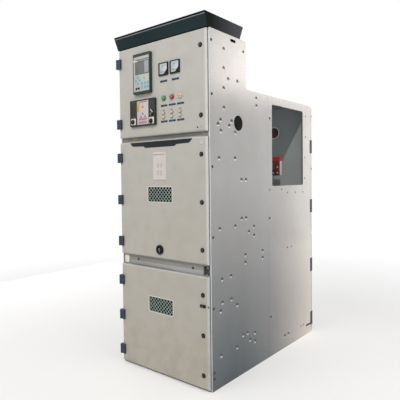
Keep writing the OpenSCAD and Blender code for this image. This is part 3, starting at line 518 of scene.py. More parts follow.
# Drawn holes and screws on a side sheet, (y behind the front, z above the floor) in millimetres
FRONT_DISHES = [
    (147, 2116), (145, 1996), (193, 1936), (295, 1937), (143, 1873), (144, 1751), (524, 1858), (526, 1806),
    (108, 1672), (81, 1644), (110, 1604), (226, 1674), (200, 1643), (265, 1603), (88, 1435), (262, 1438),
    (334, 1298), (386, 1298), (89, 996), (258, 997), (334, 1041), (385, 1041), (482, 975), (419, 945),
    (483, 914), (374, 793), (374, 742), (594, 792), (594, 742), (205, 682), (108, 677), (207, 530),
    (110, 530), (272, 479), (90, 480), (394, 259), (341, 259), (486, 235), (422, 205), (486, 176), (268, 199),
    (92, 199)]
REAR_DISHES = [(914, 90), (969, 92)]
REAR_HOLES = [
    (1282, 1809), (1280, 1640), (1266, 1469), (1263, 1303), (875, 1220), (965, 1193), (1096, 1191),
    (1229, 1191), (699, 1220), (962, 768), (1024, 768), (1185, 96), (1226, 96)]
FRONT_SCREWS = [(20, z) for z in (2145, 1821, 1382, 950, 512, 114, 76)] + [(366, 2144)]
REAR_SCREWS = [(705, 1738), (695, 1017), (705, 292)]
REAR_DOOR_SCREWS = (1819, 1379)

# What fills each hole and makes each screw, as (radius, height over the sheet)
DISH = [(0, -4.6), (2.6, -4.5), (4.0, -4.0), (10.6, -0.8), (12.2, 0.1), (13.2, 0.35), (14.0, 0.05),
        (14.0, -0.2), (12.0, -0.4), (12.0, -2.4), (10.2, -3.2), (4.4, -5.8), (0, -6.4)]
HOLE = [(0, -4.2), (3.0, -4.0), (4.6, -1.6), (5.6, -0.2), (6.3, 0.3), (7.0, 0.05), (7.0, -0.2),
        (5.9, -0.4), (5.9, -2.2), (4.4, -4.6), (0, -5.2)]
SCREW = [(0, 0.7), (2.4, 0.7), (2.6, 2.4), (6.0, 2.2), (8.4, 1.2), (9.2, 0.0), (9.2, -0.4), (0, -0.4)]
DISH_R = 12
HOLE_R = 6
CUT_DEPTH = 3
LIP_DROP = 5  # how far under a dish's middle the lower lip with its painted highlight begins


def paint_lip_highlight(piece, z, first):
    """Of the faces made since first, those of the dish's lower lip take a painted highlight."""
    piece.bm.faces.ensure_lookup_table()
    if "dish_highlight" not in piece.finishes:
        piece.finishes.append("dish_highlight")
    for face in piece.bm.faces[first:]:
        if face.calc_center_median().z / MM < z - LIP_DROP:
            face.material_index = piece.finishes.index("dish_highlight")


def side_sheet(name, sign, dishes, holes, screws):
    """The sheet's CAD shape with its drawn holes cut and filled by dished rivets, and its screws."""
    lowest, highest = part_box(name)
    plane = side_plane(sign, highest.x if sign > 0 else lowest.x, cad_front)
    cutter = Piece("cutter", plane)
    for points, radius in ((dishes, DISH_R), (holes, HOLE_R)):
        for y, z in points:
            cutter.turned(y, z, [(radius, 1), (radius, -CUT_DEPTH)], "side_sheet", 24)
    cutter.face_outwards()
    bm = bmesh.new()
    bm.from_mesh(nodes[name].data)
    bmesh.ops.remove_doubles(bm, verts=bm.verts, dist=0.01 * MM)
    bmesh.ops.dissolve_limit(bm, angle_limit=math.radians(0.5), verts=bm.verts, edges=bm.edges)
    tool, sheet = loose_object("cutter", cutter.bm), loose_object("sheet", bm)
    cut = sheet.modifiers.new("holes", "BOOLEAN")
    cut.operation = "DIFFERENCE"
    cut.solver = "EXACT"
    cut.object = tool
    bpy.context.view_layer.update()
    solved = sheet.evaluated_get(bpy.context.evaluated_depsgraph_get())
    cut_mesh = bpy.data.meshes.new_from_object(solved)
    piece = Piece(name + "_skin", plane)
    for y, z in dishes:
        first = len(piece.bm.faces)
        piece.turned(y, z, DISH, "dish_shade", 24)
        paint_lip_highlight(piece, z, first)
    for y, z in holes:
        piece.turned(y, z, HOLE, "dish_shade", 20)
    for y, z in screws:
        piece.turned(y, z, SCREW, "bolt_dark", 24)
    piece.face_outwards()
    offset = len(piece.bm.faces)
    piece.bm.from_mesh(cut_mesh)
    piece.bm.faces.ensure_lookup_table()
    piece.finishes.append("side_sheet")
    for face in piece.bm.faces[offset:]:
        face.material_index = len(piece.finishes) - 1
        face.smooth = True
    for item in (tool, sheet):
        bpy.data.objects.remove(item)
    piece.done("cabinet", (name,), recalc=False)


cad_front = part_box("side_sheet_right_front")[0].y


def make_side_sheets():
    for side, sign in (("right", 1), ("left", -1)):
        side_sheet(f"side_sheet_{side}_front", sign, FRONT_DISHES, [], FRONT_SCREWS)
        side_sheet(f"side_sheet_{side}_rear", sign, REAR_DISHES, REAR_HOLES, REAR_SCREWS)


# ---- low-voltage door's devices ----


def make_relay():
    """The protection relay's face: a screen, a column of lights, keys and two ports, with no lettering."""
    low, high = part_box("protection_relay")
    wide, tall = size_of(low, high)
    p = Piece("relay_face", front_plane(low.y, low.x, low.z))
    p.ring(rect(0, 0, wide, tall, 3), rect(4, 16, wide - 7, tall - 18, 2), 0, 3.0, "device_plastic", 0.8)
    p.plates((4, 16, wide - 7, tall - 18, 0, 0.8, "face_grey"),
             (7, 229, wide - 11, tall - 21, 0.8, 1.2, "face_warm"),
             # painted shadow line under the top strip
             (26, 223, wide - 9, 228, 0.8, 1.4, "relay_shadow_line"))
    p.slab([(4, 214), (44, 214), (50, 222), (24, 225), (4, 228)], 0.8, 3.4, "face_white", 0.6)
    p.ring(rect(20, 128, 153, 218, 3), rect(29, 134, 147, 212, 2), 0.8, 2.2, "slate_grey")
    p.plates((29, 134, 88, 212, 0.8, 1.2, "screen"), (88, 134, 109, 212, 0.8, 1.2, "slate_blue"),
             (110, 134, 147, 212, 0.8, 1.3, "led_grey"))
    for row in range(6):
        v = 141 + 12 * row
        light = "green_lens" if row > 4 else "slate_grey"
        p.turned(117, v, [(2.6, 1.3), (2.6, 1.8), (1.6, 2.4), (0, 2.6)], light, 12)
        p.slab(block(131, v, 15, 3.2, 0.5), 1.3, 1.5, "print_grey", 0.1)
    for u, v, du, dv in ((45, 110, 0, 1), (25, 90, -1, 0), (64, 91, 1, 0), (45, 70, 0, -1)):
        p.slab(circle(u, v, 11, 4), 0.8, 2.4, "key_cyan", 0.7)
        p.slab(block(u + 2 * du, v + 2 * dv, 5, 5, 1.5), 2.4, 2.7, "key_teal", 0.1)
    for u in (85, 114, 139):
        for v in (66, 40):
            p.slab(block(u, v, 18, 17, 3), 0.8, 2.4, "key_cyan", 0.7)
            p.slab(block(u + 2, v + 4, 8, 5, 1), 2.4, 2.6, "key_teal", 0.1)
    p.turned(106, 101, [(4, 0.8), (4, 2.0), (3, 2.6), (0, 2.6)], "slate_grey", 20)
    for u in (31, 53):
        p.ring(block(u, 36, 17, 15, 3), block(u, 36, 12, 10, 2), 0.8, 2.2, "port_brown")
        p.slab(block(u, 36, 12.4, 10.4, 2), 0.8, 1.0, "port_brown")
    for u in (14, wide - 14):
        for v in (8, tall - 9):
            p.turned(u, v, [(2.6, 1.0), (2.6, 3.3), (1.9, 3.6), (0, 3.6)], "bolt_dark", 16)
    p.done("lv_door")


def make_status_panel():
    """The status indicator's face: a ribbed grille, a diagram of plain marks, and a pale hook."""
    low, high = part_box("status_indicator")
    wide, tall = size_of(low, high)
    p = Piece("status_face", front_plane(low.y, low.x, low.z))
    p.ring(rect(0, 0, wide, tall, 5), rect(8, 6, wide - 8, tall - 6, 3), 0, 1.8, "status_black", 0.6)
    p.slab(rect(11, 62, 66, 168), 0, 0.6, "status_grey")
    for i in range(7):
        p.slab(rect(13 + 7.2 * i, 66, 18 + 7.2 * i, 164, 0.6), 0.6, 1.4, "status_black")
    p.slab(rect(70, 10, 178, 168), 0, 1.0, "face_pink")
    p.slab(rect(70, 98, 92, 158), 1.0, 1.5, "yellow")
    p.slab(rect(94, 157, 166, 164), 1.0, 1.3, "print_red", 0.1)
    p.slab(rect(123.6, 112, 125.4, 156), 1.0, 1.2, "print_grey", 0.1)
    p.slab(rect(123.6, 70, 125.4, 94), 1.0, 1.2, "print_grey", 0.1)
    for v in (126, 81):
        p.ring(circle(124.5, v, 6), circle(124.5, v, 4), 1.0, 1.8, "slate_grey", 0.2)
        p.turned(124.5, v, [(4, 1.0), (3.4, 1.8), (1.5, 2.4), (0, 2.5)], "print_red", 20)
    for u in (109, 147):
        p.slab(block(u, 62, 14, 12, 1), 1.0, 1.6, "print_grey")
    for row, v in enumerate((46, 24)):
        for i in range(6):
            finish = "print_red" if (i + row) % 3 else "print_grey"
            p.slab(block(93 + 13 * i, v, 9, 15, 1), 1.0, 1.4, finish, 0.1)
    for i in range(4):
        for j in range(8):
            p.slab(block(190 + 11 * i, 110 + 7 * j, 7, 4, 0.6), 0, 1.0, "status_grey")
    p.slab([(194, 72), (200, 70), (219, 86), (200, 104), (194, 102), (210, 86)], 0, 2.2, "face_white")
    for u, v in ((10, 12), (183, 9)):
        p.slab(rect(u, v, u + 45, v + 43, 3), 0, 1.4, "face_white", 0.4)
    p.done("lv_door")


def make_status_knobs():
    """Two black knobs, and a small one above, each with a skirt, a finger ridge and a pale pointer."""
    k = Piece("status_knob_set", front_plane(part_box("status_knobs")[1].y))
    shelf = min(lo.z for lo, hi in islands("status_knobs")) + 40 * MM
    for lo, hi in islands("status_knobs"):
        u, v, proud, r = (lo.x + hi.x) / 2 / MM + 11, (lo.z + hi.z) / 2 / MM - 3, (hi.y - lo.y) / MM, 17
        if (lo.z + hi.z) / 2 > shelf:
            u, v, r, proud = u + 15, v - 8, 11, proud - 3
        top = proud - 2.4
        k.turned(u, v, [(r, 0), (r, 2.4), (r - 1, 3.2), (r - 2, 3.4), (r - 2.8, proud - 3), (r - 3.6, top),
                        (0, top)], "lock_black", 36)
        k.slab(block(u, v, 7, r * 1.5, 3), proud - 2.6, proud - 0.4, "lock_black", 1.2)
        k.slab(block(u, v + r * 0.35, 1.6, r * 0.4, 0.5), proud - 0.5, proud - 0.1, "face_white", 0.1)
    k.done("lv_door", ("status_knobs",))


# Heights over the low-voltage door's face, in millimetres
METER_DIAL = 5.5
METER_FRAME = 8.0
METER_PRINT = METER_DIAL + 0.12


def make_meters():
    """Square panel meters: a round body behind the door, a shallow case, and a dial with its black corner."""
    p = Piece("meter_set")
    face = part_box("lv_door_panel")[0].y
    for lo, hi in islands("panel_meters"):
        size, back = (hi.x - lo.x) / MM - 4, (hi.y - face) / MM
        p.plane = front_plane(face, lo.x + 2 * MM, lo.z + 2 * MM)
        p.turned(size / 2, size / 2, [(30, -back), (32, 1 - back), (33, 3 - back), (33, 1)], "bezel", 36)
        outer = rect(0, 0, size, size, 4)
        p.loft([(rect(1, 1, size - 1, size - 1, 4), 0.1), (outer, 0.6), (outer, 5)], "bezel")
        inner = rect(9.5, 9.5, size - 8.5, size - 6, 2)
        p.ring(outer, inner, 4.5, METER_FRAME, "bezel", 0.7)
        p.slab(inner, 4.8, METER_DIAL, "dial_white")
        corner = [(44, 9), (size - 8, 9), (size - 8, 40), (size - 18, 29), (size - 30, 17)]
        p.slab(corner, METER_DIAL, 6.6, "bezel")
        pivot = (size - 17, 19)

        def mark(outline, finish="print_grey"):
            p.slab(outline, METER_DIAL, METER_PRINT, finish, 0.02)

        def swung(r, a):
            return pivot[0] + r * math.cos(a), pivot[1] + r * math.sin(a)

        for i in range(11):
            a = math.radians(98 + 7.6 * i)
            inner_r, outer_r = (43, 49) if i % 5 else (40, 49)
            half = 0.5 if i % 5 else 0.9
            d, n = Vector((math.cos(a), math.sin(a))), Vector((-math.sin(a), math.cos(a)))
            quad = [Vector(pivot) + d * r + n * t
                    for r, t in ((inner_r, half), (inner_r, -half), (outer_r, -half), (outer_r, half))]
            mark([tuple(q) for q in quad])
        arc = [math.radians(96 + 5 * i) for i in range(17)]
        mark([swung(50, a) for a in arc] + [swung(49, a) for a in arc[::-1]])
        mark(block(size / 2 - 4, size - 22, 22, 4, 0.5))
        mark(block(30, 22, 24, 4, 0.5), "print_red")
        a = math.radians(166)
        side = Vector((-math.sin(a), math.cos(a))) * 1.1
        base = (pivot[0] - side.x, pivot[1] - side.y), (pivot[0] + side.x, pivot[1] + side.y)
        p.slab([swung(46, a), *base[::-1]], METER_DIAL + 0.2, METER_DIAL + 0.5, "print_red", 0.05)
        p.turned(size / 2, 4.5, [(1.8, 7), (1.8, 8.3), (0, 8.3)], "bolt_dark", 12)
    p.done("lv_door", ("panel_meters",))


def make_lamps():
    """Each lamp: a thin collar and a domed lens; the amber one is smaller and stands on an ivory body."""
    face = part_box("lv_door_panel")[0].y
    back = (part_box("pilot_lamps")[1].y - face) / MM
    p = Piece("pilot_lamp_set", front_plane(face))
    for (lo, hi), colour in zip(islands("pilot_lamps"), ("green_lens", "red_lens", "amber_lens")):
        u, v, r = round_of(lo, hi)
        ivory = colour == "amber_lens"
        wide, body, skirt, dome_h = (r, 11, 4, 8.5) if ivory else (r + 2.4, 2.6, 1.6, 14)
        p.turned(u, v, [(r - 5, -back), (r - 4, 1 - back), (r - 4, -0.5), (wide, 0.1), (wide, body - 0.8),
                        (wide - 0.8, body)], "lamp_plastic" if ivory else "bezel", 36)
        dome, top = wide - skirt, body + dome_h
        if ivory:
            u, v = u - 1.5, v + 3
        p.turned(u, v, [(dome, body - 0.5), (dome, top - 7.5), (dome - 1.0, top - 4.6),
                        (dome - 3.2, top - 2.2), (dome - 6.4, top - 0.6), (1.5, top), (0, top)], colour, 36)
    p.done("lv_door", ("pilot_lamps",))


def make_links():
    """Link switches: two round lobes with a shaded rim and a raised button, a waist, and an arrow above."""
    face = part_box("lv_door_panel")[0].y
    p = Piece("link_set", front_plane(face))
    for lo, hi in islands("link_plates"):
        u, v, r = round_of(lo, hi)
        u, v = u - 4, v - 4
        for dv in (13.5, -13.5):
            lobe = [(r - 0.4, -SINK), (r, 0.4), (r, 2.2), (r - 1.2, 3.2), (r - 2.6, 3.4)]
            p.turned(u, v + dv, lobe, "link_plastic", 32)
            p.ring(circle(u, v + dv, r - 1.4), circle(u, v + dv, r - 5.0), 3.0, 4.2, "link_shade", 0.5)
            button = [(r - 4.8, 3.0), (r - 5.0, 7.0), (r - 6.2, 8.4), (0, 8.6)]
            p.turned(u, v + dv, button, "link_plastic", 28)
        p.slab(block(u, v, 13, 12, 1.5), -SINK, 3.0, "link_plastic", 0.8)
        for du in (-4, 4):
            p.slab(block(u + du, v, 1.6, 8, 0.5), 3.0, 3.8, "link_shade", 0.2)
        p.slab([(u - 11, v + 20), (u + 12, v + 20), (u + 0.5, v + 34)], -SINK, 5.0, "link_shade", 0.4)
    p.done("lv_door", ("link_plates",))


def make_label_faces():
    """The blue middles and the end screws of the device labels, and two small screws on the door."""
    p = Piece("label_faces")
    for lo, hi in islands("device_labels"):
        wide, tall = size_of(lo, hi)
        p.plane = front_plane(lo.y, lo.x, lo.z)
        p.slab(rect(wide * 0.27, tall * 0.2, wide * 0.74, tall * 0.8), 0, 0.25, "label_blue", 0.1)
        for u in (4, wide - 4):
            p.turned(u, tall / 2, [(1.2, 0), (1.2, 0.5), (0, 0.6)], "bolt_bright", 10)
    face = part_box("lv_door_panel")[0].y
    p.plane = front_plane(face)
    p.turned(325, 1622, [(5, -SINK), (5, 1.2), (3.5, 2), (0, 2.2)], "bolt_dark", 20)
    p.turned(352, 1623, [(2.5, -SINK), (2.5, 0.8), (0, 1)], "bolt_dark", 16)
    p.done("lv_door")


# ---- lower doors' details ----


def make_breaker_details():
    """Plain marks on the notice label and the sticker, and the trip plug's cap."""
    sticker, label = sorted(islands("notice_labels"), key=lambda b: b[1].z - b[0].z)
    lo, hi = label
    wide, tall = size_of(lo, hi)
    p = Piece("notice_rules", front_plane(lo.y, lo.x, lo.z))
    p.ring(rect(2, 2, wide - 2, tall - 2, 1), rect(3, 3, wide - 3, tall - 3, 1), 0, 0.15, "print_grey", 0.05)
    for edge, bottom, top, finish in ((6, tall * 0.88, tall * 0.905, "print_faint"),
                                      (1, 0.5, 3, "print_faint"),
                                      (8, tall * 0.87, tall * 0.875, "print_grey")):
        p.slab(rect(edge, bottom, wide - edge, top, 0.3), 0, 0.15, finish, 0.05)
    for du in (-14, 14):
        for row in range(3):
            u = wide / 2 + du
            p.slab(block(u, tall * (0.47 + 0.05 * row), 8 - 2 * row, 5, 0.5), 0, 0.12, "print_grey", 0.03)
            p.slab(block(u, tall * (0.2 + 0.06 * row), 12, 5, 0.5), 0, 0.12, "print_faint", 0.03)
    lo = sticker[0]
    p.plane = front_plane(lo.y, lo.x, lo.z)
    p.slab([(6, 34), (17, 34), (11.5, 24)][::-1], 0, 0.2, "lilac", 0.05)
    p.slab(rect(2, 4, 21, 6.5, 0.4), 0, 0.2, "label_blue", 0.05)
    p.done("breaker_door")
    lo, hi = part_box("trip_plug")
    u, v, r = round_of(lo, hi)
    p = Piece("trip_plug_cap", front_plane(lo.y))
    p.ring(circle(u, v, r - 5), circle(u, v, r - 8), -0.3, 1.4, "bezel", 0.4)
    p.turned(u, v, [(10, -SINK), (10, 2.4), (8.6, 3.4), (0, 3.6)], "slate_grey", 32)
    p.slab(block(u, v - 12, 6, 14, 2), -SINK, 1.8, "slate_grey")
    p.slab(block(u, v, 2.4, 12, 0.6), 3.5, 3.9, "bezel", 0.1)
    p.done("breaker_door")


MESH_EDGE = 8  # how far the mesh node reaches under the door's sheet round its window


def make_mesh_rims():
    """A rim in a paler paint as painted highlight, a dark backing sheet of painted shade behind each mesh
    window, and the small latch's face and screw.
    """
    for door in ("breaker_door", "cable_door"):
        lo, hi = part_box(door + "_mesh")
        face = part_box(door + "_panel")[0].y
        u0, v0, u1, v1 = sides_of(lo, hi)
        p = Piece(door + "_mesh_rim", front_plane(face))
        inner = rect(u0 + MESH_EDGE, v0 + MESH_EDGE, u1 - MESH_EDGE, v1 - MESH_EDGE, 5)
        # the rim's paler paint is a painted highlight
        p.ring(inset(inner, -6), inner, -0.4, 1.4, "rim_highlight_paint", 0.6)
        # dark backing sheet: painted shade of the door's inside
        p.slab(rect(u0, v0, u1, v1, 5), -9.5, -7, "mesh_backing_shade")
        p.done(door)
    lo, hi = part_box("cable_door_latch")
    u0, v0, u1, v1 = sides_of(lo, hi)
    p = Piece("cable_door_latch_face", front_plane(lo.y))
    p.slab(rect(u0 + 18.5, v0 + 1, u0 + 22.5, v1 - 1, 0.8), -SINK, 0.4, "latch_metal")
    p.plane = side_plane(1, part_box("cable_door_panel")[1].x)
    p.turned(lo.y / MM + 14, v0 + 6, [(5.5, -SINK), (5.5, 0.6), (3.5, 1.0), (0, 1.0)], "bolt_dark", 16)
    p.done("cable_door")


LOCK_HEAD = [(14.2, -0.1), (14.8, 0.5), (14.8, 1.8), (13.8, 2.8), (12.8, 3.2), (12.2, 6.4), (11.2, 7.4),
             (9.4, 7.6), (8.6, 6.6), (0, 6.6)]


def make_locks():
    """Each quarter-turn lock: a flange, a raised ring round a square driver recess, and the shank behind."""
    for door in FRONT_DOORS + REAR_DOORS:
        side = -1 if door in REAR_DOORS else 1
        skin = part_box(door + "_panel")
        face = skin[0].y if side > 0 else skin[1].y
        p = Piece(door + "_lock_set", Plane((0, face, 0), (side, 0, 0), (0, 0, 1), (0, -side, 0)))
        for lo, hi in islands(door + "_locks"):
            u, v = round_of(lo, hi)[:2]
            u *= side
            reach = ((hi.y - face) if side > 0 else (face - lo.y)) / MM
            p.turned(u, v, [(3, -reach), (4, 1 - reach), (4, 0.4)], "latch_metal", 20)
            p.turned(u, v, LOCK_HEAD, "lock_black", 36)
            round_edge = circle(u, v, 7.4, 16, math.radians(-78.75))  # in step with the square's 16 points
            p.ring(round_edge, block(u, v, 6, 6, 0.6), 6.4, 7.3, "lock_core", 0.3)
            p.slab(block(u, v, 2.6, 2.6, 0.5), 6.4, 7.1, "lock_core", 0.2)
        p.done(door, (door + "_locks",))


NOTCH_BLOCKS = ((352, 712, 16, 9), (376, 716, 20, 6), (348, 776, 14, 8), (381, 779, 16, 9), (366, 704, 30, 3))


def make_cabinet_trim():
    """Painted lit bands, screws and marks on the beams, the notch's fittings, the header's top strip with
    painted shade and its line with a painted highlight, the right side sheet's rounded fold with a painted
    highlight, and the rear hinges' leaves."""
    lo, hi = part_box("crossbeam_middle")
    p = Piece("crossbeam_trim", front_plane(lo.y))
    # painted lit band over the middle beam's lower half; the upper half keeps the beam's painted shade
    p.slab(rect(-322, lo.z / MM + 1, 334, 743, 1), -SINK, 1.6, "beam_lit", 1.2)
    for u, v in ((-243, 752), (252, 749)):
        head = [(8.5, -0.3), (8.5, 0.8), (7.4, 2.4), (4, 3.2), (2, 3.2), (1.8, 1.8), (0, 1.8)]
        p.turned(u, v, head, "bolt_dark", 24)
    p.slab(rect(-382, 719, -339, 774, 2), -SINK, 2.0, "cream_paint", 0.6)
    # a small painted lit strip at the beam's left end
    p.slab(rect(-384, 700, -326, 717, 0.6), -SINK, 0.8, "beam_lit", 0.3)
    lo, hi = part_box("crossbeam_upper")
    p.plane = front_plane(lo.y)
    p.slab(rect(-285, 1577, -232, 1595, 2), -0.1, 0.4, "tape", 0.15)
    # painted lit band along the upper beam's lower part
    p.slab(rect(-334, 1556, 334, 1573, 1), -SINK, 0.6, "beam_lit", 0.4)
    p.done("cabinet")

    lo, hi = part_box("earthing_shaft")
    p = Piece("earthing_notch", front_plane(lo.y + 14 * MM))
    p.slab(rect(333, 702, 394, 786, 2), -2, 0, "notch_dark")
    for i, (u, v, wide, tall) in enumerate(NOTCH_BLOCKS):
        finish = "slate_grey" if i % 2 else "grommet_ring"
        p.slab(block(u, v, wide, tall, 1.5), 0, 6 + 3 * (i % 3), finish, 0.8)
    p.done("cabinet")

    lo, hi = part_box("header")
    depth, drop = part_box("side_sheet_right_front")[0].y - 20 * MM - lo.y, hi.z - lo.z
    up = Vector((0, -depth, drop)).normalized()
    p = Piece("header_trim", Plane((0, lo.y, hi.z), (1, 0, 0), up, Vector((0, -up.z, up.y))))
    wide = hi.x / MM
    # painted shade on the top strip, and under it a painted highlight line
    p.slab(rect(-wide + 2, -11.4, wide - 2, -1.5, 0.5), -SINK, 0.2, "header_lip_shade", 0.1)
    p.slab(rect(-wide + 2, -17, wide - 2, -11.8, 0.8), -SINK, 1.2, "header_highlight_line", 0.6)
    p.done("cabinet")

    lo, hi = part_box("side_sheet_right_front")
    p = Piece("right_fold", front_plane(lo.y))
    x0, x1 = hi.x / MM - 6.6, hi.x / MM - 0.4
    # paler zinc on the fold as a painted highlight
    p.slab(rect(x0, 2, x1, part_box("lv_door_panel")[1].z / MM + 2, 1.6), -1, 3.6, "fold_highlight_zinc", 1.8)
    p.done("cabinet")

    leaf = Piece("rear_hinge_wraps", side_plane(1, hi.x))
    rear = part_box("side_sheet_right_rear")[1].y / MM
    tall_leaves = [(a, b) for a, b in islands("rear_hinge_leaves") if b.z - a.z > 100 * MM]
    for z in sorted({round((a.z + b.z) / 2 / MM) for a, b in tall_leaves}):
        leaf.slab(rect(rear - 21, z - 56, rear - 0.5, z + 56, 2), -SINK, 1.2, "hinge_metal", 0.5)
        for dz in (-38, 38):
            leaf.turned(rear - 11, z + dz, [(4.5, 1.0), (4.5, 1.5), (3, 2.2), (0, 2.2)], "bolt_dark", 16)
    leaf.done("cabinet")


def make_opening_details():
    """Through the side opening: the grommet's ring and membrane, and the bar joints' plates and bolts."""
    lo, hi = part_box("wall_grommet")
    u, v, r = round_of(lo, hi)
    p = Piece("grommet_face", front_plane(lo.y))
    p.ring(circle(u, v, r + 5), circle(u, v, r - 4), -0.5, 1.6, "grommet_ring", 0.6)
    p.turned(u, v, [(r - 7, -9), (r - 7, -7), (r - 12, -5.5), (0, -5.5)], "membrane", 36)
    p.done("cabinet")
    p = Piece("joint_plates")
    for lo, hi in islands("busbar_joints"):
        if hi.z - lo.z < 100 * MM:
            continue
        x0, z0, x1, z1 = sides_of(lo, hi)
        p.plane = front_plane(lo.y)
        p.slab(rect(x0 + 2, z0 + 2, x1 - 6, z1 - 30, 2), -0.3, 1.2, "red_dark", 0.5)
        for u in (x1 - 20, x1 - 58):
            for v in (z0 + 70, z0 + 22):
                if u > x0 + 8:
                    p.turned(u, v, [(9, 1.0), (9, 2.2), (6.5, 2.4)], "bolt_dark", 20)
                    p.turned(u, v, [(6.5, 2.2), (6.5, 6.4), (5.6, 7.4), (0, 7.4)], "bolt_bright", 6)
        for sign, x in ((1, x1), (-1, x0)):
            p.plane = side_plane(sign, x / 1000)
            p.slab(rect(lo.y / MM + 2, z0 + 2, hi.y / MM - 2, z1 - 34, 2), -0.3, 1.0, "joint_pale", 0.5)
    p.done("cabinet")


ROOF_SCREW = [(9, -SINK), (9, 1.0), (6.5, 1.2), (6.2, 3.4), (4.5, 4.6), (0, 5.0)]


def make_roof_and_rear():
    """Domed screws on the relief covers, the rear doors' pressings, and the screws on one door's edge."""
    p = Piece("roof_screws")
    for lo, hi in islands("relief_flaps"):
        p.plane = Plane((0, 0, hi.z), (1, 0, 0), (0, 1, 0), (0, 0, 1))
        for u in (lo.x / MM + 16, 0, hi.x / MM - 16):
            for v in (lo.y / MM + 14, hi.y / MM - 14):
                p.turned(u, v, ROOF_SCREW, "bolt_bright", 24)
    p.done("cabinet")
    for door in REAR_DOORS:
        lo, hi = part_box(door + "_panel")
        p = Piece(door + "_pressings", Plane((0, hi.y, 0), (-1, 0, 0), (0, 0, 1), (0, 1, 0)))
        for k in range(3):
            v = lo.z / MM + (hi.z - lo.z) / MM * (0.25 + 0.25 * k)
            p.ring(block(0, v, 560, 26, 12), block(0, v, 548, 14, 6), -0.3, 1.2, "galvanised_sheet", 0.5)
        if door == "rear_upper_door":
            p.plane = side_plane(1, hi.x)
            for z in REAR_DOOR_SCREWS:
                p.turned(hi.y / MM - 9, z, [(6.5, -SINK), (6.5, 0.8), (4.5, 2.0), (0, 2.0)], "bolt_dark", 20)
        p.done(door)


SEAL_GAP = 10
SEAL_WIDTH = 9


def make_gaskets():
    """A rubber seal inside each door's folded edge."""
    for door in FRONT_DOORS + REAR_DOORS:
        lo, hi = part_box(door + "_panel")
        u0, v0, u1, v1 = sides_of(lo, hi)
        rear = door in REAR_DOORS
        skin, inward = (hi.y, -1) if rear else (lo.y, 1)
        p = Piece(door + "_gasket", Plane((0, skin, 0), (1, 0, 0), (0, 0, 1), (0, inward, 0)))
        outer = rect(u0 + SEAL_GAP, v0 + SEAL_GAP, u1 - SEAL_GAP, v1 - SEAL_GAP, 8)
        p.ring(outer, inset(outer, SEAL_WIDTH), 2.2, 11, "gasket", 2)
        p.done(door)


# ---- camera, stage and light ----


CAMERA_LENS, CAMERA_SENSOR = 40.05, 36
CAMERA_SHIFT = (0.0026, -0.0238)
CAMERA_PLACE = (2.0449, -2.8114, 1.3175)
CAMERA_YAW, CAMERA_PITCH, CAMERA_ROLL = 0.6859, 0.0295, -0.0111
FLOOR_HALF = 14
FADE_START, FADE_END = 1.7, 4.4
DOME_COLOUR, DOME_STRENGTH = (0.95, 0.97, 1.0, 1), 0.46
WHITE = (1, 1, 1, 1)
SUN_STRENGTH, SUN_COLOUR, SUN_TRAVEL, SUN_ANGLE = 1.9, (1.0, 0.97, 0.93), (-0.64, 1.0, -1.1), 3
# Name, place, aim, width, height, watts and colour
SOFTBOXES = (
    ("front_bank", (-1.2, -4.0, 3.8), (0.0, -0.7, 1.9), 2.6, 2.6, 46, (1.0, 0.98, 0.95)),
    ("right_fill", (3.4, -0.5, 1.6), (0.4, -0.5, 1.5), 2.6, 3.2, 42, (1.0, 0.99, 0.97)),
    ("left_fill", (-3.4, 0.4, 1.6), (-0.4, 0.4, 1.4), 2.6, 3.2, 26, (1.0, 0.99, 0.97)),
    ("high_bank", (3.6, 5.95, 3.55), (0.4, 5.95, 3.55), 5.1, 1.2, 39, (1.0, 0.93, 0.88)),
    ("rear_bank", (3.6, 7.9, 1.5), (0.4, 7.9, 1.5), 2.2, 2.9, 34, (1.0, 0.93, 0.88)))


def make_camera():
    """The camera stands before the right front edge, a little above the middle of the cabinet."""
    data = bpy.data.cameras.new("camera")
    data.sensor_width = CAMERA_SENSOR
    data.lens = CAMERA_LENS
    data.shift_x, data.shift_y = CAMERA_SHIFT
    data.clip_start = 0.05
    data.clip_end = 60
    camera = bpy.data.objects.new("camera", data)
    turn = Matrix.Rotation(CAMERA_YAW, 4, "Z") @ Matrix.Rotation(math.pi / 2 - CAMERA_PITCH, 4, "X")
    camera.matrix_world = Matrix.Translation(CAMERA_PLACE) @ turn @ Matrix.Rotation(CAMERA_ROLL, 4, "Z")
    bpy.context.scene.collection.objects.link(camera)
    bpy.context.scene.camera = camera


def seen_directly(tree):
    """1 for camera, glossy and transmission rays."""
    path = tree.nodes.new("ShaderNodeLightPath")
    total = path.outputs["Is Camera Ray"]
    for name in ("Is Glossy Ray", "Is Transmission Ray"):
        add = tree.nodes.new("ShaderNodeMath")
        add.operation = "MAXIMUM"
        tree.links.new(total, add.inputs[0])
        tree.links.new(path.outputs[name], add.inputs[1])
        total = add.outputs[0]
    return total


def make_world():
    """An even dome of light, white where the camera, glass or metal sees it."""
    world = bpy.data.worlds.new("studio")
    world.use_nodes = True
    bpy.context.scene.world = world
    tree = world.node_tree
    tree.nodes.clear()
    out = tree.nodes.new("ShaderNodeOutputWorld")
    light = tree.nodes.new("ShaderNodeBackground")
    white = tree.nodes.new("ShaderNodeBackground")
    light.inputs["Color"].default_value = DOME_COLOUR
    light.inputs["Strength"].default_value = DOME_STRENGTH
    white.inputs["Color"].default_value = WHITE
    mix = tree.nodes.new("ShaderNodeMixShader")
    tree.links.new(seen_directly(tree), mix.inputs["Fac"])
    tree.links.new(light.outputs[0], mix.inputs[1])
    tree.links.new(white.outputs[0], mix.inputs[2])
    tree.links.new(mix.outputs[0], out.inputs["Surface"])


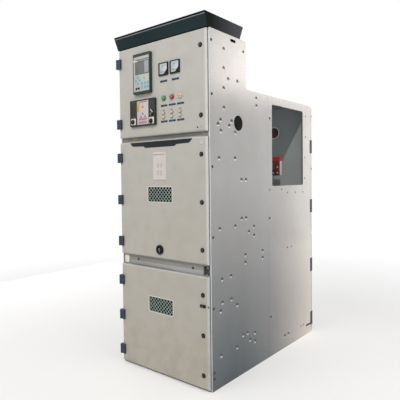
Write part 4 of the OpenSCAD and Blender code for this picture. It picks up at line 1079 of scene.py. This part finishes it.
def make_light(name, kind, watts, colour, travel, place=(0, 0, 0)):
    data = bpy.data.lights.new(name, kind)
    data.energy = watts
    data.color = colour
    lamp = bpy.data.objects.new(name, data)
    lamp.location = place
    lamp.rotation_mode = "QUATERNION"
    lamp.rotation_quaternion = Vector(travel).to_track_quat("-Z", "Y")
    bpy.context.scene.collection.objects.link(lamp)
    return lamp


def make_lights():
    make_light("key", "SUN", SUN_STRENGTH, SUN_COLOUR, SUN_TRAVEL).data.angle = math.radians(SUN_ANGLE)
    for name, place, aim, width, height, watts, colour in SOFTBOXES:
        lamp = make_light(name, "AREA", watts, colour, Vector(aim) - Vector(place), place)
        lamp.visible_camera = False
        lamp.data.shape = "RECTANGLE"
        lamp.data.size, lamp.data.size_y = width, height


def make_stage():
    """A pale floor that fades into the white surroundings."""
    t = Tree("pale_floor")
    t.set(base_color=(0.82, 0.82, 0.82, 1), roughness=0.9)
    reach = t.add("VectorMath", {0: t.place}, operation="LENGTH").outputs["Value"]
    fade = t.times(t.ramp(reach, FADE_START, FADE_END), seen_directly(t.tree))
    glow = t.add("Emission", {"Color": WHITE, "Strength": 1.0})
    mix = t.add("MixShader", {0: fade, 1: t.shader.outputs[0], 2: glow.outputs[0]})
    t.tree.links.new(mix.outputs[0], t.tree.nodes["Material Output"].inputs["Surface"])
    mesh = bpy.data.meshes.new("floor")
    corners = [(x * FLOOR_HALF, y * FLOOR_HALF, 0) for x, y in ((-1, -1), (1, -1), (1, 1), (-1, 1))]
    mesh.from_pydata(corners, [], [(0, 1, 2, 3)])
    mesh.materials.append(t.material)
    floor = bpy.data.objects.new("floor", mesh)
    bpy.context.scene.collection.objects.link(floor)


bpy.context.scene.view_settings.view_transform = "Standard"
for make in (dress_cad_nodes, make_side_sheets, make_relay, make_status_panel, make_meters, make_lamps,
             make_links, make_status_knobs, make_label_faces, make_breaker_details, make_mesh_rims,
             make_locks, make_cabinet_trim, make_opening_details, make_roof_and_rear, make_gaskets,
             make_camera, make_world, make_stage, make_lights):
    make()
